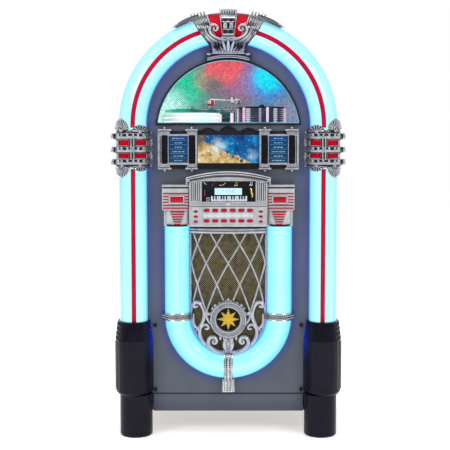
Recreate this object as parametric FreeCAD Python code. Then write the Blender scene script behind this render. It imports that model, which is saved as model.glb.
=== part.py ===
import FreeCAD, Part  # FreeCAD has to be imported before Part

import math
import os

# An arch-topped jukebox with glowing corner tubes, built as separate pieces.
# Millimetres, +Z up, the front faces -Y. The origin is the centre of the footprint on the floor.

V = FreeCAD.Vector
GAP = 0.3                        # air between pieces that sit close together

# ---- carcass -------------------------------------------------------------------------------
ARCH_Z = 1138.0                  # height of the centre that every arch is struck from
CABINET_HALF = 386.0             # outside of the side panels
BOARD = 18.0                     # thickness of the carcass boards
INSIDE_HALF = CABINET_HALF - BOARD
PANEL_Y = -195.0                 # front face of the front panel
PANEL_BACK = PANEL_Y + BOARD
CARCASS_BACK = 262.0             # rear edge of the sides and roof
DOOR_FRONT = 262.5               # inside of the back door, half a millimetre off the carcass
DOOR_BACK = 278.0                # outside of the back door
REAR_LIMIT = 280.0               # the lock barrel and inlet plate end here
BASE_Z = 80.0                    # underside of the carcass
PLINTH_TOP = 147.0
DECK_TOP = 1146.0                # the record deck, level with the window sill

# ---- glowing corner tubes ------------------------------------------------------------------
TUBE_INNER = 297.0               # inner edge on the front panel, from the centre line
TUBE_CREST = 343.0               # where the tube stands furthest forward
TUBE_OUTER = 400.0               # outermost edge: half the width of the body
TUBE_RISE = 57.0                 # how far the crest stands in front of the panel
TUBE_WALL = 3.0
TUBE_SIDE_Y = -165.0             # the tube's flat side ends here and curls to the cabinet
SLEEVE_TOP = 424.0

# ---- window --------------------------------------------------------------------------------
WINDOW_R = 261.0
WINDOW_Z = 1114.0                # centre of the window's arc
TRIM_W = 5.0

# ---- lower U-shaped tube -------------------------------------------------------------------
U_INNER = 140.0
U_OUTER = 234.0
U_MID = (U_INNER + U_OUTER) / 2
U_RISE = (U_OUTER - U_INNER) / 2
U_Z = 440.0                      # centre of the bend
U_TOP = 772.0

# ---- side clamps and crown -----------------------------------------------------------------
CLAMP_BARS = (1006.5, 1051.0, 1099.5)
CLAMP_BAR_HALF = 10.0
CLAMP_WINDOWS_X = ((296.0, 332.0), (354.0, 396.0))
CLAMP_WINDOWS_Z = ((1018.5, 1039.0), (1064.0, 1087.0))
CROWN_TOP = 1545.0
WIDTH_HALF = 426.0               # tips of the clamp bolts

# ---- title display -------------------------------------------------------------------------
TITLE_Z = (973.0, 1131.0)
TITLE_HALF = 256.0
SCREEN_X, SCREEN_Z = 111.0, (1002.0, 1104.0)
LIST_X, LIST_Z = (147.0, 217.0), (1003.0, 1100.0)
PILLARS_X = ((122.0, 144.0), (220.0, 242.0))

# ---- control panel -------------------------------------------------------------------------
HOUSING_FACE = -265.0
HOUSING_HALF = 141.0
HOUSING_Z = (774.0, 955.0)
WING_OUT = 239.0
WING_FACE = -250.0
BUTTON_COLUMNS = [-78.25 + 31.3 * i for i in range(6)]
BUTTON_ROWS = (833.0, 795.0)
BUTTON_SIZE = (21.6, 10.4)
MODE_X = 117.0
MODE_ROWS = (828.5, 810.5, 792.5)
MODE_SIZE = (14.0, 6.8)
BUTTON_CLEARANCE = 0.4
BUTTON_TRAVEL = 2.5
BOARD_Y = -246.0                 # front of the button circuit board
LENS_X, LENS_Z = (-95.0, 98.0), (864.0, 938.0)

# ---- columns -------------------------------------------------------------------------------
SLEEVE_X = 347.5                 # middle of a sleeve
SLEEVE_HALF = 68.5
SLEEVE_FRONT = -280.0            # the frontmost point of the whole object
SLEEVE_BOTTOM = 154.0
LEG_X, LEG_Y, LEG_R = 340.0, -214.0, 60.0

# ---- record player -------------------------------------------------------------------------
PLATTER_X, PLATTER_Y = -138.0, -40.0
PLATTER_R = 104.0
RECORD_R = 87.5
ARM_X, ARM_Y = 14.0, 35.0
HEAD_X, HEAD_Y = -67.0, -85.0
ARM_Z = 1238.0
MAGAZINE_X, MAGAZINE_Y, MAGAZINE_R = 127.0, -20.0, 98.0

# ---- back door -----------------------------------------------------------------------------
DOOR_BOTTOM = 620.0
HINGE_X, HINGE_Y, KNUCKLE_R = 392.0, 270.0, 5.0
HINGE_ZS = (700.0, 1060.0)
LOCK_X, LOCK_Z = -340.0, 850.0
INLET_X, INLET_Z = 250.0, 190.0


# ---- helpers -------------------------------------------------------------------------------
def box(x0, x1, y0, y1, z0, z1):
    """A box between two corners."""
    return Part.makeBox(x1 - x0, y1 - y0, z1 - z0, V(x0, y0, z0))


def rod(radius, start, end):
    """A cylinder from one point to another."""
    run = end - start
    return Part.makeCylinder(radius, run.Length, start, run)


def wire(*edges):
    """One closed wire from curves or edges in any order."""
    shapes = [e if isinstance(e, Part.Shape) else e.toShape() for e in edges]
    return Part.Wire(Part.__sortEdges__(shapes))


def front_prism(points, y0, y1):
    """A polygon of (x, z) points, extruded along Y."""
    corners = [V(x, y0, z) for x, z in points]
    outline = Part.makePolygon(corners + corners[:1])
    return Part.Face(outline).extrude(V(0, y1 - y0, 0))


def line(a, b):
    return Part.LineSegment(a, b)


def arc(a, middle, b):
    return Part.Arc(a, middle, b)


def fused(first, *rest):
    """One solid out of several that touch or overlap."""
    return first.fuse(list(rest)).removeSplitter() if rest else first


def largest(shape):
    """The biggest solid of a cut or a common."""
    return max(shape.Solids, key=lambda solid: solid.Volume)


def both_sides(shape):
    """A piece and its mirror image across the middle of the object."""
    return [shape, shape.mirror(V(0, 0, 0), V(1, 0, 0))]


def lathe(points, centre, axis=V(0, 1, 0)):
    """A ring or disc from (radius, distance along the axis) points."""
    side = V(1, 0, 0)
    corners = [centre + side * r + axis * h for r, h in points]
    profile = Part.Face(Part.makePolygon(corners + corners[:1]))
    return profile.revolve(centre, axis, 360)


def stadium(x, z, width, height, y0, y1):
    """A bar with half-round ends, lying across the front, extruded along Y."""
    radius = height / 2
    reach = width / 2 - radius
    ends = [(x - reach, -1), (x + reach, 1)]
    (left, _), (right, _) = ends
    outline = wire(
        line(V(left, y0, z + radius), V(right, y0, z + radius)),
        arc(V(right, y0, z + radius), V(right + radius, y0, z), V(right, y0, z - radius)),
        line(V(right, y0, z - radius), V(left, y0, z - radius)),
        arc(V(left, y0, z - radius), V(left - radius, y0, z), V(left, y0, z + radius)),
    )
    return Part.Face(outline).extrude(V(0, y1 - y0, 0))


def arch_face(radius, bottom, y, centre_z=ARCH_Z):
    """The outline of an arch with straight sides down to bottom, as a face across the front."""
    return Part.Face(wire(
        arc(V(-radius, y, centre_z), V(0, y, centre_z + radius), V(radius, y, centre_z)),
        line(V(radius, y, centre_z), V(radius, y, bottom)),
        line(V(radius, y, bottom), V(-radius, y, bottom)),
        line(V(-radius, y, bottom), V(-radius, y, centre_z)),
    ))


def segment_face(radius, centre_z, sill, y):
    """A round window cut off by a level sill, as a face across the front."""
    half = math.sqrt(radius ** 2 - (sill - centre_z) ** 2)
    return Part.Face(wire(
        arc(V(-half, y, sill), V(0, y, centre_z + radius), V(half, y, sill)),
        line(V(half, y, sill), V(-half, y, sill)),
    ))


def u_face(radius, top, y):
    """A U shape: straight sides from top down to a half-round bottom."""
    return Part.Face(wire(
        line(V(-radius, y, top), V(radius, y, top)),
        line(V(radius, y, top), V(radius, y, U_Z)),
        arc(V(radius, y, U_Z), V(0, y, U_Z - radius), V(-radius, y, U_Z)),
        line(V(-radius, y, U_Z), V(-radius, y, top)),
    ))


# ---- sections of the glowing tubes ---------------------------------------------------------
def corner_section(offset):
    """The corner tube's outline, grown by offset, as a face level with the arch centre.

    X is the distance from the centre line. The crest divides an elliptical inner flank from a
    round outer one, and the outline ends on the cabinet's side."""
    z = ARCH_Z
    side = CABINET_HALF + 1
    curl = TUBE_OUTER - side + offset
    rise = TUBE_RISE + offset
    inner = Part.Ellipse(
        V(TUBE_CREST, PANEL_Y - rise, z),
        V(TUBE_INNER - offset, PANEL_Y, z),
        V(TUBE_CREST, PANEL_Y, z),
    )
    flank = Part.ArcOfEllipse(inner, 0, math.pi / 2)
    slant = rise * math.sqrt(0.5)
    start, end = flank.StartPoint, flank.EndPoint
    low = min((start, end), key=lambda p: p.x)
    crest = max((start, end), key=lambda p: p.x)
    outer = V(TUBE_OUTER + offset, PANEL_Y, z)
    back = V(TUBE_OUTER + offset, TUBE_SIDE_Y, z)
    curl_mid = V(side + curl * math.sqrt(0.5), TUBE_SIDE_Y + curl * math.sqrt(0.5), z)
    curl_end = V(side, TUBE_SIDE_Y + curl, z)
    corner = V(side, PANEL_Y, z)
    return Part.Face(wire(
        flank,
        arc(crest, V(TUBE_CREST + slant, PANEL_Y - slant, z), outer),
        line(outer, back),
        arc(back, curl_mid, curl_end),
        line(curl_end, corner),
        line(corner, low),
    ))


def corner_band(near, far):
    """The skin between two offsets of the corner tube's outline."""
    return corner_section(far).cut(corner_section(near))


def lower_band(near, far):
    """The skin between two offsets of the lower tube's half-round outline, at the bend's height."""
    faces = []
    for offset in (near, far):
        reach = U_RISE + offset
        ends = V(U_MID - reach, PANEL_Y, U_Z), V(U_MID + reach, PANEL_Y, U_Z)
        crest = V(U_MID, PANEL_Y - reach, U_Z)
        faces.append(Part.Face(wire(arc(ends[0], crest, ends[1]), line(ends[1], ends[0]))))
    return faces[1].cut(faces[0])


def swept_down(face, top, bottom):
    """A level section carried down the outside of the cabinet."""
    placed = face.copy()
    placed.translate(V(0, 0, top - face.BoundBox.ZMin))
    return placed.extrude(V(0, 0, bottom - top)).Solids[0]


def around_arch(face, start_deg, sweep_deg, centre_z=ARCH_Z):
    """A section turned round the arch centre; 0 is the right-hand side and 90 is the top."""
    placed = face.copy()
    centre = V(0, 0, centre_z)
    placed.rotate(centre, V(0, 1, 0), -start_deg)
    return placed.revolve(centre, V(0, 1, 0), -sweep_deg).Solids[0]


# ---- carcass -------------------------------------------------------------------------------
def side_panels():
    return both_sides(
        box(INSIDE_HALF, CABINET_HALF, PANEL_BACK, CARCASS_BACK, BASE_Z, ARCH_Z)
    )


def arched_roof():
    outer = Part.makeCylinder(
        CABINET_HALF, CARCASS_BACK - PANEL_BACK, V(0, PANEL_BACK, ARCH_Z), V(0, 1, 0)
    )
    inner = Part.makeCylinder(
        INSIDE_HALF, CARCASS_BACK - PANEL_BACK, V(0, PANEL_BACK, ARCH_Z), V(0, 1, 0)
    )
    above = box(-400, 400, PANEL_BACK, CARCASS_BACK, ARCH_Z, ARCH_Z + 400)
    return [outer.cut(inner).common(above)]


def base_board():
    return [box(-INSIDE_HALF, INSIDE_HALF, PANEL_BACK, CARCASS_BACK, BASE_Z, BASE_Z + BOARD)]


def plinth_board():
    """The low board between the columns, set back a little from the front panel."""
    return [box(-278, 278, PANEL_BACK - 14, PANEL_BACK, BASE_Z, PLINTH_TOP)]


WOOFER_Z, WOOFER_HOLE = 600.0, 92.0
TWEETER_X, TWEETER_Z, TWEETER_HOLE = 78.0, 715.0, 30.0


def front_panel():
    """The grey front, with the window, the speaker holes and two cable holes."""
    blank = arch_face(CABINET_HALF, PLINTH_TOP, PANEL_Y).extrude(V(0, BOARD, 0))
    window = segment_face(WINDOW_R, WINDOW_Z, DECK_TOP, PANEL_Y).extrude(V(0, BOARD, 0))
    holes = [window]
    round_holes = [
        (0, WOOFER_Z, WOOFER_HOLE),
        (-TWEETER_X, TWEETER_Z, TWEETER_HOLE),
        (TWEETER_X, TWEETER_Z, TWEETER_HOLE),
        (0, 905, 15),
        (0, 1052, 15),
    ]
    for x, z, radius in round_holes:
        holes.append(rod(radius, V(x, PANEL_Y - 1, z), V(x, PANEL_BACK + 1, z)))
    return [blank.cut(holes)]


def mechanism_deck():
    return [box(-366, 366, PANEL_BACK, 250, DECK_TOP - 16, DECK_TOP)]


def lower_back_panel():
    """Screwed on below the door, with rows of cooling slots and a cut-out for the inlet."""
    board = box(-CABINET_HALF, CABINET_HALF, CARCASS_BACK, DOOR_BACK, BASE_Z, DOOR_BOTTOM - 3)
    cuts = [box(INLET_X - 50, INLET_X + 50, CARCASS_BACK - 1, REAR_LIMIT, INLET_Z - 24, INLET_Z + 24)]
    for row in range(6):
        for side in (-1, 1):
            slot = stadium(side * 110, 420 + 24 * row, 160, 8, CARCASS_BACK - 1, DOOR_BACK + 1)
            cuts.append(slot)
    return [board.cut(cuts)]


# ---- legs and columns ----------------------------------------------------------------------
def legs():
    """Two round front legs, notched round the carcass corners, and two rear glides."""
    leg = Part.makeCylinder(LEG_R, SLEEVE_BOTTOM, V(LEG_X, LEG_Y, 0))
    rim = Part.makeCone(LEG_R - 4, LEG_R, 5, V(LEG_X, LEG_Y, 0))
    leg = leg.cut(box(200, 450, -300, 0, -1, 5)).fuse(rim).removeSplitter()
    notch = fused(
        box(200, 450, PANEL_BACK, 0, BASE_Z, SLEEVE_BOTTOM + 1),
        box(200, 450, PANEL_Y, 0, PLINTH_TOP, SLEEVE_BOTTOM + 1),
    )
    glide = fused(
        Part.makeCylinder(14, BASE_Z - 12, V(330, 215, 12)),
        Part.makeCylinder(24, 12, V(330, 215, 0)),
    )
    return both_sides(leg.cut(notch)) + both_sides(glide)


def sleeve_outline(half, z):
    """Plan of a column sleeve: a round front that wraps the outside corner of the cabinet."""
    reach = PANEL_Y - SLEEVE_FRONT - (SLEEVE_HALF - half)
    inner, outer = SLEEVE_X - half, SLEEVE_X + half
    oval = Part.Ellipse(
        V(SLEEVE_X, PANEL_Y - reach, z), V(outer, PANEL_Y, z), V(SLEEVE_X, PANEL_Y, z)
    )
    front = Part.ArcOfEllipse(oval, -math.pi / 2, math.pi / 2)
    side = CABINET_HALF + GAP
    tuck = outer - side
    return wire(
        front,
        line(V(outer, PANEL_Y, z), V(outer, -150, z)),
        arc(
            V(outer, -150, z),
            V(side + tuck * math.sqrt(0.5), -150 + tuck * math.sqrt(0.5), z),
            V(side, -150 + tuck, z),
        ),
        line(V(side, -150 + tuck, z), V(side, PANEL_Y, z)),
        line(V(side, PANEL_Y, z), V(inner, PANEL_Y, z)),
    )


def column_sleeves():
    """Black sleeves with four stepped ribs where they take the tube, hollow behind."""
    rounding = Part.makeLoft(
        [sleeve_outline(SLEEVE_HALF - 7, SLEEVE_BOTTOM), sleeve_outline(SLEEVE_HALF, SLEEVE_BOTTOM + 9)],
        True, True,
    )
    rib_start, rib_count = 356.0, 4
    rib_height = (SLEEVE_TOP - rib_start) / rib_count
    barrel = Part.Face(sleeve_outline(SLEEVE_HALF, SLEEVE_BOTTOM + 9)).extrude(
        V(0, 0, rib_start - SLEEVE_BOTTOM - 9)
    )
    pieces = [rounding]
    for i in range(rib_count):
        z = rib_start + i * rib_height
        half = SLEEVE_HALF - 1.2 - 2.1 * i
        pieces.append(Part.makeLoft(
            [sleeve_outline(half, z), sleeve_outline(half - 2.6, z + rib_height)], True, True
        ))
    sleeve = barrel.fuse(pieces)
    hollow = Part.Face(sleeve_outline(SLEEVE_HALF - 5, SLEEVE_BOTTOM + 14)).extrude(
        V(0, 0, rib_start - SLEEVE_BOTTOM - 20)
    )
    return both_sides(largest(sleeve.cut(hollow)))


def sleeve_screws():
    """Black knobs that hold each sleeve's inner flange to the front panel."""
    screws = []
    for z in (404.0, 163.0):
        knob = rod(7, V(270, PANEL_Y - 9, z), V(270, PANEL_Y, z))
        screws += both_sides(fused(knob, rod(3, V(270, PANEL_Y - 11, z), V(270, PANEL_Y - 9, z))))
    return screws


# ---- glowing tubes and their lights --------------------------------------------------------
CROWN_GAP_DEG = 0.4              # half the gap between the two arch tubes, under the crown


def light_tubes():
    """Two quarter arches and two straight columns of thin diffusing plastic."""
    skin = corner_section(0).cut(corner_section(-TUBE_WALL))
    column = swept_down(skin, ARCH_Z - GAP, SLEEVE_TOP)
    arch = around_arch(skin, 0, 90 - CROWN_GAP_DEG)
    return both_sides(column) + both_sides(arch)


def red_trim_strips():
    """A thin red moulding along the crest of every corner tube."""
    half_width = 8.0
    skin = corner_band(GAP, 2.8)
    window = box(TUBE_CREST - half_width, TUBE_CREST + half_width, -400, -200, ARCH_Z - 1, ARCH_Z + 1)
    crest = skin.common(window).Faces[0]
    lower = swept_down(crest, CLAMP_BARS[0] - 25, SLEEVE_TOP)
    upper = swept_down(crest, ARCH_Z - GAP, CLAMP_BARS[2] + 30)
    arch = around_arch(crest, 0, 75)
    return both_sides(lower) + both_sides(upper) + both_sides(arch)


def led_strips():
    """Circuit strips with the lamps, on the panel inside every tube."""
    thick, half = 2.0, 5.0
    y0, y1 = PANEL_Y - thick, PANEL_Y
    strips = both_sides(box(TUBE_CREST - half, TUBE_CREST + half, y0, y1, SLEEVE_TOP + 4, ARCH_Z))
    section = Part.Face(Part.makePolygon([
        V(TUBE_CREST - half, y0, ARCH_Z), V(TUBE_CREST + half, y0, ARCH_Z),
        V(TUBE_CREST + half, y1, ARCH_Z), V(TUBE_CREST - half, y1, ARCH_Z),
        V(TUBE_CREST - half, y0, ARCH_Z),
    ]))
    strips += both_sides(around_arch(section, 0, 88))
    strips += both_sides(box(U_MID - half, U_MID + half, y0, y1, U_Z, U_TOP - 4))
    low = section.copy()
    low.translate(V(U_MID - TUBE_CREST, 0, U_Z - ARCH_Z))
    strips.append(around_arch(low, 0, -180, U_Z))
    return strips


def lower_tubes():
    """The U in front of the loudspeaker: two straight legs and a half-round bend."""
    skin = lower_band(-TUBE_WALL, 0)
    leg = swept_down(skin, U_TOP, U_Z + GAP)
    return both_sides(leg) + [around_arch(skin, 0, -180, U_Z)]


def tube_bands():
    """Two collars over the joints of the U, and the strap that holds its lowest point."""
    collar = swept_down(lower_band(1.5, 7), U_Z + 14, U_Z - 12)
    ridge = swept_down(lower_band(6, 9), U_Z + 12, U_Z + 8)
    lip = swept_down(lower_band(6, 9), U_Z - 6, U_Z - 10)
    strap = around_arch(lower_band(1.5, 7), -75, -30, U_Z)
    strap = strap.common(box(-15, 15, -300, PANEL_Y, 150, 420))
    bottom = U_Z - U_OUTER - 7
    foot = front_prism(
        [(-22, bottom + 4), (22, bottom + 4), (24, 160), (18, 156), (-18, 156), (-24, 160)],
        PANEL_Y - 22, PANEL_Y,
    )
    grille_room = u_face(GRILLE_HALF + 0.5, U_TOP, -400).extrude(V(0, 400, 0))
    beside_grille = box(-GRILLE_HALF - 0.6, GRILLE_HALF + 0.6, -330, -190, 400, 480)
    collar = largest(fused(collar, ridge, lip).cut(beside_grille))
    return both_sides(collar) + [largest(fused(strap, foot).cut(grille_room))]


# ---- clamps --------------------------------------------------------------------------------
def clamp_outline():
    """The clamp's silhouette from the front: a block with a tall outer and a low inner lobe."""
    y = -330
    top, bottom = 1118.0, 992.0
    return Part.Face(wire(
        line(V(286, y, bottom), V(286, y, top)),
        arc(V(286, y, top), V(316, y, 1139), V(346, y, top)),
        line(V(346, y, top), V(358, y, top)),
        arc(V(358, y, top), V(368, y, 1150), V(388, y, 1162)),
        arc(V(388, y, 1162), V(408, y, 1148), V(418, y, top)),
        line(V(418, y, top), V(418, y, bottom)),
        arc(V(418, y, bottom), V(404, y, 962), V(384, y, 952)),
        arc(V(384, y, 952), V(366, y, 966), V(358, y, bottom)),
        line(V(358, y, bottom), V(346, y, bottom)),
        arc(V(346, y, bottom), V(316, y, 973), V(286, y, bottom)),
    )).extrude(V(0, 220, 0))


def clamp_windows(margin):
    """The four openings for the red lenses, grown by margin."""
    return [
        box(x0 - margin, x1 + margin, -330, -205, z0 - margin, z1 + margin)
        for x0, x1 in CLAMP_WINDOWS_X
        for z0, z1 in CLAMP_WINDOWS_Z
    ]


def clamp_castings():
    """Cast clamps over the corner tubes: three bars across, a double rib, and bolt heads."""
    body = swept_down(corner_band(3.2, 9), 1165, 950).common(clamp_outline())
    bars = []
    for z in CLAMP_BARS:
        bar = swept_down(corner_band(8, 15), z + CLAMP_BAR_HALF, z - CLAMP_BAR_HALF)
        tongue = front_prism(
            [(290, z - 9), (290, z + 9), (281, z + 9), (274, z), (281, z - 9)],
            PANEL_Y - 12, PANEL_Y,
        )
        bolt = rod(9, V(412, -205, z), V(WIDTH_HALF - 3, -205, z))
        tip = rod(7, V(WIDTH_HALF - 3, -205, z), V(WIDTH_HALF, -205, z))
        bars += [bar, tongue, bolt, tip]
    rib_window = box(TUBE_CREST - 7, TUBE_CREST + 7, -330, -200, CLAMP_BARS[0], CLAMP_BARS[2])
    rib = swept_down(corner_band(8, 13), CLAMP_BARS[2], CLAMP_BARS[0]).common(rib_window)
    groove = box(TUBE_CREST - 1.5, TUBE_CREST + 1.5, -330, -264, CLAMP_BARS[0], CLAMP_BARS[2])
    casting = body.cut(clamp_windows(0)).fuse(bars + [rib.cut(groove)])
    return both_sides(largest(casting))


# ---- crown ---------------------------------------------------------------------------------
CROWN_LENS = [(21, 1450), (40, 1450), (62, 1470), (76, 1535), (31, 1535)]


def crown_outline():
    """The crown's silhouette: a flared cup with a wing along the top of the arch each side."""
    cup = [(64, 1402), (66, 1422), (82, 1446), (98, 1472), (118, 1503), (136, 1530), (150, 1560)]
    outline = cup + [(-x, z) for x, z in reversed(cup)]
    prism = front_prism(outline, -330, -120)
    wings = []
    for side in (-1, 1):
        inner = [polar(392, a) for a in (15, 20, 25, 28)]
        outer = [polar(415, a) for a in (29, 22, 15)]
        wings.append(front_prism([(side * x, z) for x, z in inner + outer], -330, -120))
    return prism.fuse(wings)


def polar(radius, degrees_from_top):
    """(x, z) of a point round the arch centre, measured from straight up."""
    angle = math.radians(degrees_from_top)
    return radius * math.sin(angle), ARCH_Z + radius * math.cos(angle)


def crown_casting():
    """The saddle over the top of the arch, with a raised spine, and its foot on the panel."""
    saddle = around_arch(corner_band(3.2, CROWN_TOP - ARCH_Z - TUBE_OUTER), 58, 64)
    lenses = []
    for side in (-1, 1):
        lenses.append(front_prism([(side * x, z) for x, z in CROWN_LENS], -330, -150))
    saddle = saddle.common(crown_outline()).cut(lenses)
    spine = around_arch(corner_band(6, 14), 80, 20)
    spine = spine.common(front_prism([(-18, 1403), (18, 1403), (25, 1533), (-25, 1533)], -330, -200))
    trim_top = WINDOW_R + TRIM_W + 1
    foot = front_prism(
        [(-62, 1412), (-66, 1402), (-84, 1394), (-84, 1350), (84, 1350), (84, 1394), (66, 1402), (62, 1412)],
        PANEL_Y - 18, PANEL_Y,
    )
    below = Part.makeCylinder(trim_top, 60, V(0, PANEL_Y - 30, WINDOW_Z), V(0, 1, 0))
    under_tube = Part.makeCylinder(TUBE_INNER - GAP, 60, V(0, PANEL_Y - 30, ARCH_Z), V(0, 1, 0))
    foot = foot.cut(below).common(under_tube)
    neck = front_prism([(-62, 1400), (62, 1400), (66, 1440), (-66, 1440)], PANEL_Y - 24, PANEL_Y - 14)
    neck = neck.cut(around_arch(corner_section(3.2), 70, 40))
    return [largest(saddle.fuse([spine, foot, neck]))]


def red_lenses():
    """Red plastic windows in the clamps and the crown."""
    skin = swept_down(corner_band(3.6, 6.6), 1110, 1000)
    lenses = []
    for opening in clamp_windows(-GAP):
        lenses += both_sides(largest(skin.common(opening)))
    saddle = around_arch(corner_band(3.6, 5.6), 74, 14)
    centre_x = sum(x for x, _ in CROWN_LENS) / len(CROWN_LENS)
    centre_z = sum(z for _, z in CROWN_LENS) / len(CROWN_LENS)
    shrink = 0.985
    inset = [(centre_x + (x - centre_x) * shrink, centre_z + (z - centre_z) * shrink) for x, z in CROWN_LENS]
    lenses += both_sides(largest(saddle.common(front_prism(inset, -330, -150))))
    return lenses


# ---- window --------------------------------------------------------------------------------
def window_pane():
    pane = segment_face(WINDOW_R + 12, WINDOW_Z, DECK_TOP + GAP, PANEL_BACK)
    return [pane.extrude(V(0, 4, 0))]


def window_trim():
    """A bead round the window, standing proud of the panel."""
    outer = segment_face(WINDOW_R + TRIM_W, WINDOW_Z, DECK_TOP - 6, PANEL_Y)
    inner = segment_face(WINDOW_R - 1, WINDOW_Z, DECK_TOP + 1, PANEL_Y)
    return [largest(outer.cut(inner).extrude(V(0, -8, 0)))]


def backdrop_panel():
    """The patterned liner that closes the record chamber, fixed inside the back door."""
    face = segment_face(356, ARCH_Z, DECK_TOP + 6, DOOR_FRONT - 6)
    return [face.extrude(V(0, 6, 0))]


# ---- title display -------------------------------------------------------------------------
TITLE_PLATE_Y = PANEL_Y - 8


def title_backplate():
    """Black board with a three-lobed top, carrying four ribbed pillars."""
    plate = box(-246, 246, TITLE_PLATE_Y, PANEL_Y, 981, 1118)
    parts = []
    for x, top in ((-76, 1127), (0, 1133), (76, 1127)):
        radius = 46.0
        lobe = rod(radius, V(x, TITLE_PLATE_Y, top - radius), V(x, PANEL_Y, top - radius))
        parts.append(lobe)
    for x0, x1 in PILLARS_X:
        for side in (-1, 1):
            low, high = sorted((side * x0, side * x1))
            parts.append(box(low + 2, high - 2, TITLE_PLATE_Y - 8, TITLE_PLATE_Y, 996, 1108))
            for rib in range(10):
                z = 1002 + rib * 11
                parts.append(box(low + 1, high - 1, TITLE_PLATE_Y - 10, TITLE_PLATE_Y, z, z + 4))
    return [plate.fuse(parts).removeSplitter()]


def display_screens():
    """The picture screen and the two song list screens."""
    y0, y1 = TITLE_PLATE_Y - 4, TITLE_PLATE_Y
    screens = [box(-SCREEN_X, SCREEN_X, y0, y1, *SCREEN_Z)]
    return screens + both_sides(box(*LIST_X, y0, y1, *LIST_Z))


def title_frame():
    """Bright frames round the song lists: four stepped capitals each, joined by rails."""
    front, back = TITLE_PLATE_Y - 17, PANEL_Y
    low, high = TITLE_Z[0] + 6, TITLE_Z[1] - 6
    plate_front = TITLE_PLATE_Y
    parts = [
        box(TITLE_HALF - 7, TITLE_HALF, front + 5, back, low, high),
        box(113, 119.5, front + 5, plate_front, LIST_Z[0] - 20, LIST_Z[1] + 20),
    ]
    for z0, z1 in ((LIST_Z[1] + GAP, LIST_Z[1] + 7), (LIST_Z[0] - 7, LIST_Z[0] - GAP)):
        parts.append(box(PILLARS_X[0][0], PILLARS_X[1][1] + 8, plate_front - 12, plate_front, z0, z1))
    pillar_centres = [(x0 + x1) / 2 for x0, x1 in PILLARS_X]
    for x, reach in zip(pillar_centres, (23.0, 25.0)):
        for z, up in ((high, 1), (low, -1)):
            tiers = ((reach, 0, 6), (reach - 6, 6, 16), (15.0, 16, 20))
            for half, near, far in tiers:
                z0, z1 = sorted((z - up * near, z - up * far))
                parts.append(box(x - half, x + half, front if half > 20 else front + 4, back, z0, z1))
            z0, z1 = sorted((z, z + up * 6))
            parts.append(box(x - 5, x + 5, front + 4, back, z0, z1))
    frame = parts[0].fuse(parts[1:])
    frame = frame.cut(title_backplate() + display_screens()[1:])
    return both_sides(largest(frame))


# ---- control panel -------------------------------------------------------------------------
def button_places():
    """(name, x, z, size) of every push button."""
    places = []
    count = 0
    for z in BUTTON_ROWS:
        for x in BUTTON_COLUMNS:
            count += 1
            places.append((f"select_button_{count:02d}", x, z, BUTTON_SIZE))
    count = 0
    for side in (-1, 1):
        for z in MODE_ROWS:
            count += 1
            places.append((f"mode_button_{count}", side * MODE_X, z, MODE_SIZE))
    return places


def visor():
    """The hood over the display: a shallow arched brow with two mouldings."""
    y0 = HOUSING_FACE - 6
    brow = Part.Face(wire(
        arc(V(-152, y0, 952), V(0, y0, 974), V(152, y0, 952)),
        line(V(152, y0, 952), V(152, y0, 936)),
        line(V(152, y0, 936), V(HOUSING_HALF - 3, y0, 936)),
        line(V(HOUSING_HALF - 3, y0, 936), V(HOUSING_HALF - 3, y0, 944)),
        arc(V(HOUSING_HALF - 3, y0, 944), V(0, y0, 961), V(3 - HOUSING_HALF, y0, 944)),
        line(V(3 - HOUSING_HALF, y0, 944), V(3 - HOUSING_HALF, y0, 936)),
        line(V(3 - HOUSING_HALF, y0, 936), V(-152, y0, 936)),
        line(V(-152, y0, 936), V(-152, y0, 952)),
    ))
    return brow.extrude(V(0, PANEL_Y - y0, 0))


def control_housing():
    """The cast control panel: display bay, button deck, brow and two side wings, hollow behind."""
    z0, z1 = HOUSING_Z
    body = Part.Face(wire(
        line(V(-HOUSING_HALF, HOUSING_FACE, z0), V(HOUSING_HALF, HOUSING_FACE, z0)),
        line(V(HOUSING_HALF, HOUSING_FACE, z0), V(HOUSING_HALF, HOUSING_FACE, 945)),
        arc(V(HOUSING_HALF, HOUSING_FACE, 945), V(0, HOUSING_FACE, 963), V(-HOUSING_HALF, HOUSING_FACE, 945)),
        line(V(-HOUSING_HALF, HOUSING_FACE, 945), V(-HOUSING_HALF, HOUSING_FACE, z0)),
    )).extrude(V(0, PANEL_Y - HOUSING_FACE, 0))
    parts = [visor()]
    for side in (-1, 1):
        upper = sorted((side * (HOUSING_HALF - 2), side * WING_OUT))
        lower = sorted((side * (HOUSING_HALF - 2), side * (WING_OUT - 6)))
        parts.append(box(*upper, WING_FACE, PANEL_Y, 834, 918))
        parts.append(box(*upper, WING_FACE - 7, PANEL_Y, 917, 924))
        parts.append(box(*lower, WING_FACE + 6, PANEL_Y, z0 + 1, 835))
    housing = body.fuse(parts)
    cavities = [
        box(7 - HOUSING_HALF, HOUSING_HALF - 7, HOUSING_FACE + 7, PANEL_Y, z0 + 7, 940),
        box(*LENS_X, HOUSING_FACE - 1, HOUSING_FACE + 4, *LENS_Z),
        box(LENS_X[0] + 6, LENS_X[1] - 6, HOUSING_FACE, HOUSING_FACE + 8, LENS_Z[0] + 6, LENS_Z[1] - 6),
    ]
    for side in (-1, 1):
        wing = sorted((side * (HOUSING_HALF + 2), side * (WING_OUT - 12)))
        cavities.append(box(*wing, WING_FACE + 12, PANEL_Y, z0 + 7, 911))
    for _, x, z, (width, height) in button_places():
        room = 2 * BUTTON_CLEARANCE
        cavities.append(stadium(x, z, width + room, height + room, HOUSING_FACE - 1, HOUSING_FACE + 8))
    return [largest(housing.cut(cavities))]


def display_lens():
    """The dark window over the number display."""
    x0, x1 = LENS_X[0] + GAP, LENS_X[1] - GAP
    z0, z1 = LENS_Z[0] + GAP, LENS_Z[1] - GAP
    return [box(x0, x1, HOUSING_FACE + 1, HOUSING_FACE + 4, z0, z1)]


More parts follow.
